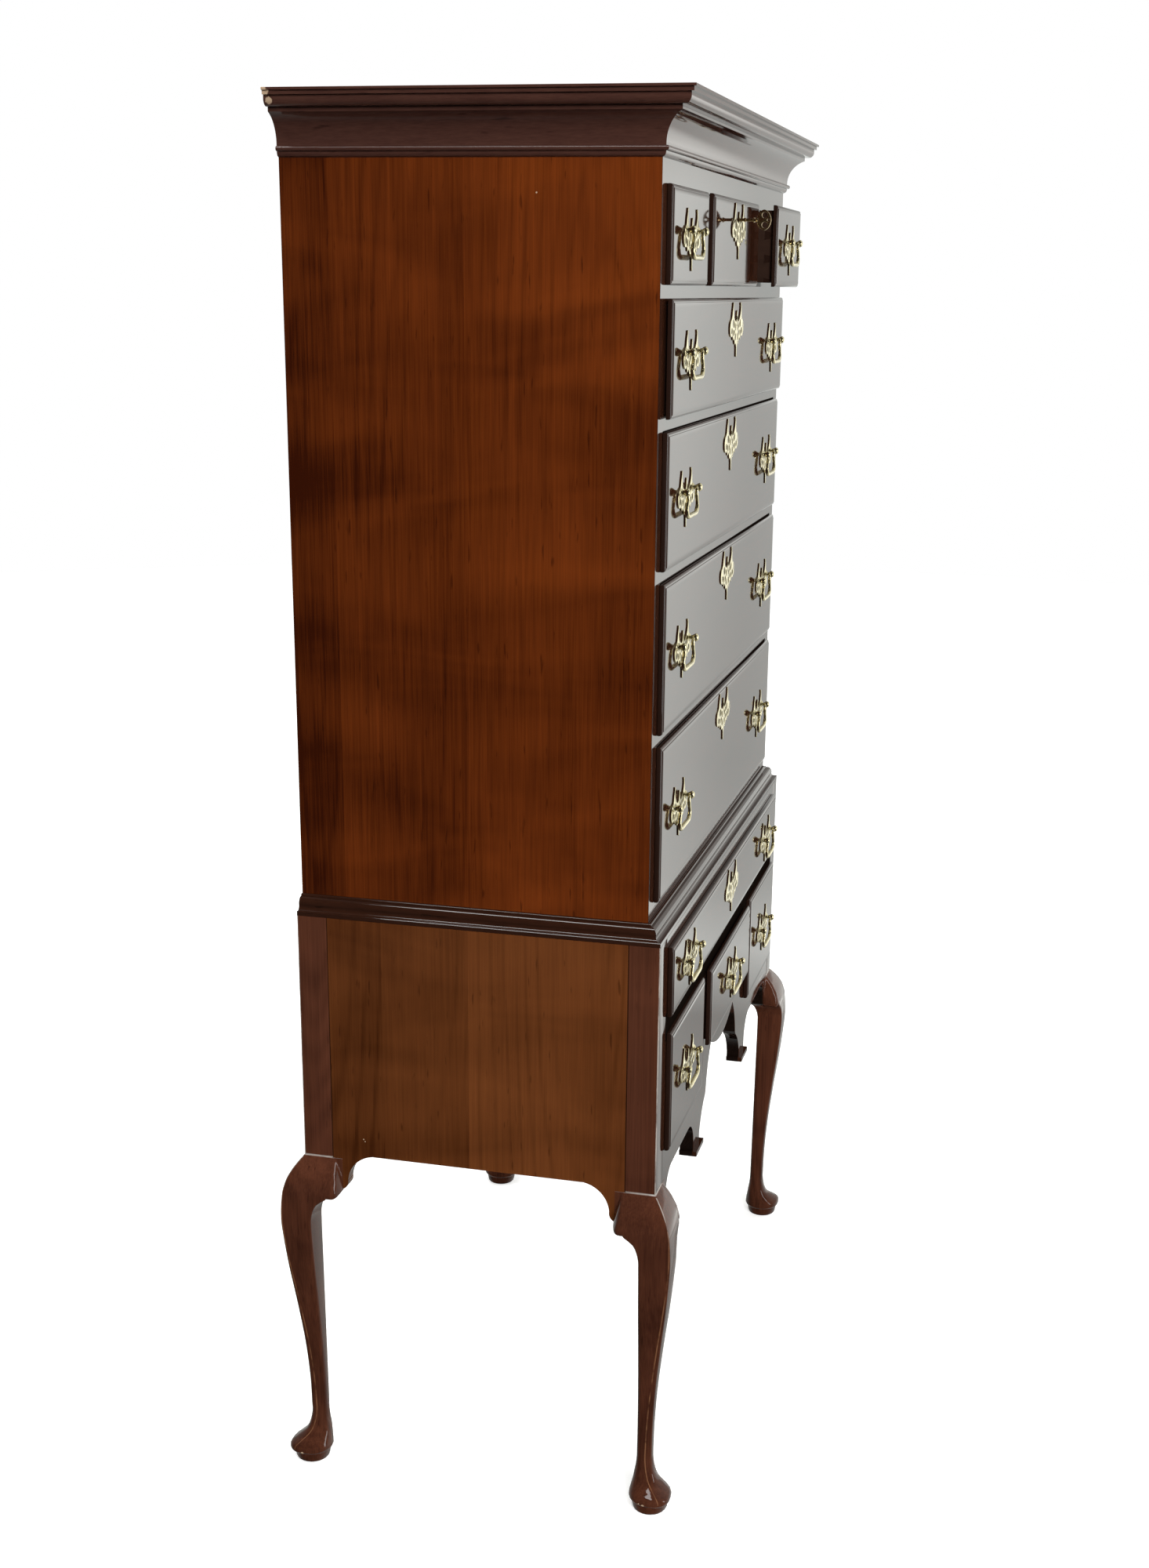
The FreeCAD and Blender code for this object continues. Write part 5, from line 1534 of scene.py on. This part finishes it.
# ---------------------------------------------------------------------------------------------
# Studio
# ---------------------------------------------------------------------------------------------
@dataclass
class Studio:
    """Camera, lamps, floor and the room that the gloss reflects."""

    eye: tuple[float, float, float] = (-2.7721, -0.7337, 1.6176)
    look: tuple[float, float, float] = (0.93421, 0.22354, -0.27800)
    roll: float = 0.77            # degrees
    lens: float = 30.02           # millimetres, for a sensor 24 mm high
    shift: tuple[float, float] = (-0.0241, 0.0447)

    WHITE, WALL = (1.0, 1.0, 1.0), (0.975, 1.0, 0.96)
    # Brightness of the pale wall by the upward part of the direction to it, which the ramp
    # takes from RAMP_FOOT up over RAMP_SPAN.
    FALL = ((-0.44, 0.40), (-0.40, 0.62), (-0.355, 0.52), (-0.322, 1.18), (-0.29, 0.84),
            (-0.23, 0.77), (-0.15, 0.83), (-0.02, 0.94), (0.045, 1.06), (0.065, 0.90),
            (0.09, 0.50))
    RAMP_FOOT, RAMP_SPAN = -0.5, 0.6

    def camera(self) -> None:
        """Set the camera at the viewing angle."""
        data = bpy.data.cameras.new("Camera")
        data.sensor_fit, data.sensor_height, data.sensor_width = "VERTICAL", 24.0, 36.0
        data.lens, (data.shift_x, data.shift_y) = self.lens, self.shift
        data.clip_end = 60.0
        camera = bpy.data.objects.new("Camera", data)
        link(camera)
        forward = Vector(self.look).normalized()
        right = forward.cross(Vector((0, 0, 1))).normalized()
        right = Matrix.Rotation(-math.radians(self.roll), 3, forward) @ right
        up = right.cross(forward)
        turn = Matrix((right, up, -forward)).transposed()
        camera.matrix_world = Matrix.Translation(Vector(self.eye)) @ turn.to_4x4()
        bpy.context.scene.camera = camera

    def lamp(self, name: str, place: tuple[float, float, float], aim: tuple[float, float, float],
             size: tuple[float, float], watts: float, sheen: bool = False) -> None:
        """Hang an oblong lamp and turn it to its aim.

        Args:
            name: the lamp's name.
            place: where it hangs.
            aim: the point that it faces.
            size: its width and height.
            watts: its power.
            sheen: whether the gloss alone shows it; otherwise it lights and no gloss shows it.
        """
        data = bpy.data.lights.new(name, "AREA")
        data.shape, (data.size, data.size_y), data.energy = "RECTANGLE", size, watts
        lamp = bpy.data.objects.new(name, data)
        link(lamp)
        lamp.visible_diffuse, lamp.visible_glossy = not sheen, sheen
        lamp.location = place
        toward = Vector(aim) - Vector(place)
        lamp.rotation_euler = toward.to_track_quat("-Z", "Y").to_euler()

    def light(self) -> None:
        """Soft lamps for the colours, and a narrow window for the crisp highlights."""
        self.lamp("Key", (-4.2, -2.6, 3.4), (0.0, 0.0, 1.0), (2.4, 2.4), 330.0)
        self.lamp("Fill", (3.6, -3.6, 2.8), (0.1, -0.1, 0.9), (2.2, 2.2), 90.0)
        self.lamp("Crown", (-0.4, 1.6, 4.4), (0.0, 0.0, 1.4), (2.6, 2.6), 120.0)
        self.lamp("Skylight", (-1.3, 0.35, 2.9), (-0.5, 0.0, 0.4), (1.1, 0.42), 22.0, sheen=True)
        self.lamp("Window", (-0.75, -3.4, 1.2), (-0.4, 0.0, 1.0), (0.45, 2.2), 34.0, sheen=True)

    def room(self) -> None:
        """The world: white behind the object, a pale wall to its right, dark to its left."""
        world = bpy.data.worlds.new("World")
        bpy.context.scene.world = world
        g = Graph(world)
        x, y, z = g.place("Generated")
        greys = [((height - self.RAMP_FOOT) / self.RAMP_SPAN, (grey,) * 3)
                 for height, grey in self.FALL]
        level = (z - self.RAMP_FOOT) / self.RAMP_SPAN
        fall = g.node("ShaderNodeValToRGB", {"stops": greys}, {0: level})
        wall = (x.step(-0.35, 0.45) * 1.02 + 0.05) * fall * (y.step(-0.16, -0.22) * 0.70 + 0.90)
        seen = g.ray("Camera")
        dim = g.node("ShaderNodeBackground", {}, {0: self.WALL, 1: wall})
        white = g.node("ShaderNodeBackground", {}, {0: self.WHITE, 1: 1.0})
        g.finish(g.node("ShaderNodeMixShader", {}, {0: seen, 1: dim, 2: white}))

    def floor(self) -> None:
        """A pale floor that keeps the object's shadow: level rings from the middle out."""
        a = around(96)
        reach = np.array([0.0, 0.4, 1.0, 2.0, 4.0, 9.0])[:, None]
        level = np.full((len(reach), len(a)), -0.0004)
        surface = np.stack([reach * np.cos(a), reach * np.sin(a), level], axis=-1)
        floor = Skin().grid(surface, capped=False).raw("Floor")
        if floor.data.polygons[0].normal.z < 0:
            floor.data.flip_normals()
        link(floor)
        floor.data.materials.append(self.floor_material())

    def floor_material(self) -> bpy.types.Material:
        """Pale paint: seen directly it glows to the backdrop's white away from the object.

        Returns:
            The finished material.
        """
        made = bpy.data.materials.new("pale_floor")
        g = Graph(made)
        x, y, _ = g.place()
        away = ((x * x + y * y) ** 0.5).step(0.5, 2.6)
        seen = g.ray("Camera")
        paint = g.node("ShaderNodeBsdfDiffuse", {}, {0: (0.82, 0.82, 0.81)})
        glow = g.node("ShaderNodeEmission", {}, {0: self.WHITE, 1: 0.5 + away * 0.5})
        pale = g.node("ShaderNodeAddShader", {}, {0: paint, 1: glow})
        clear = g.node("ShaderNodeBsdfTransparent")
        lit = x.step(-1.5, -0.4) * (1.0 - g.ray("Glossy"))
        ground = g.node("ShaderNodeMixShader", {}, {0: lit, 1: clear, 2: paint})
        g.finish(g.node("ShaderNodeMixShader", {}, {0: seen, 1: ground, 2: pale}))
        return made

    def build(self) -> None:
        """Set the whole studio."""
        self.camera()
        self.light()
        self.room()
        self.floor()
        bpy.context.scene.view_settings.view_transform = "Standard"


def main() -> None:
    """Build the sub-assemblies in order."""
    logging.basicConfig(level=logging.INFO, format="%(message)s")
    Studio().build()
    Case().dress()
    Moulding("cornice", cornice_profile).build(MOULDING.material())
    Moulding("waist_moulding", waist_profile).build(WAIST.material())
    CabrioleLegs().build(LEG_WOOD.material())
    front = FRONTS.material()
    for node in sorted(frame["nodes"]):
        if node.endswith("_front"):
            DrawerFront(node.removeprefix("drawer_").removesuffix("_front")).build(front)
    Brassware().build(BRASS.material())
    Key().build(KEY_BRASS.material())


if __name__ == "__main__":
    main()
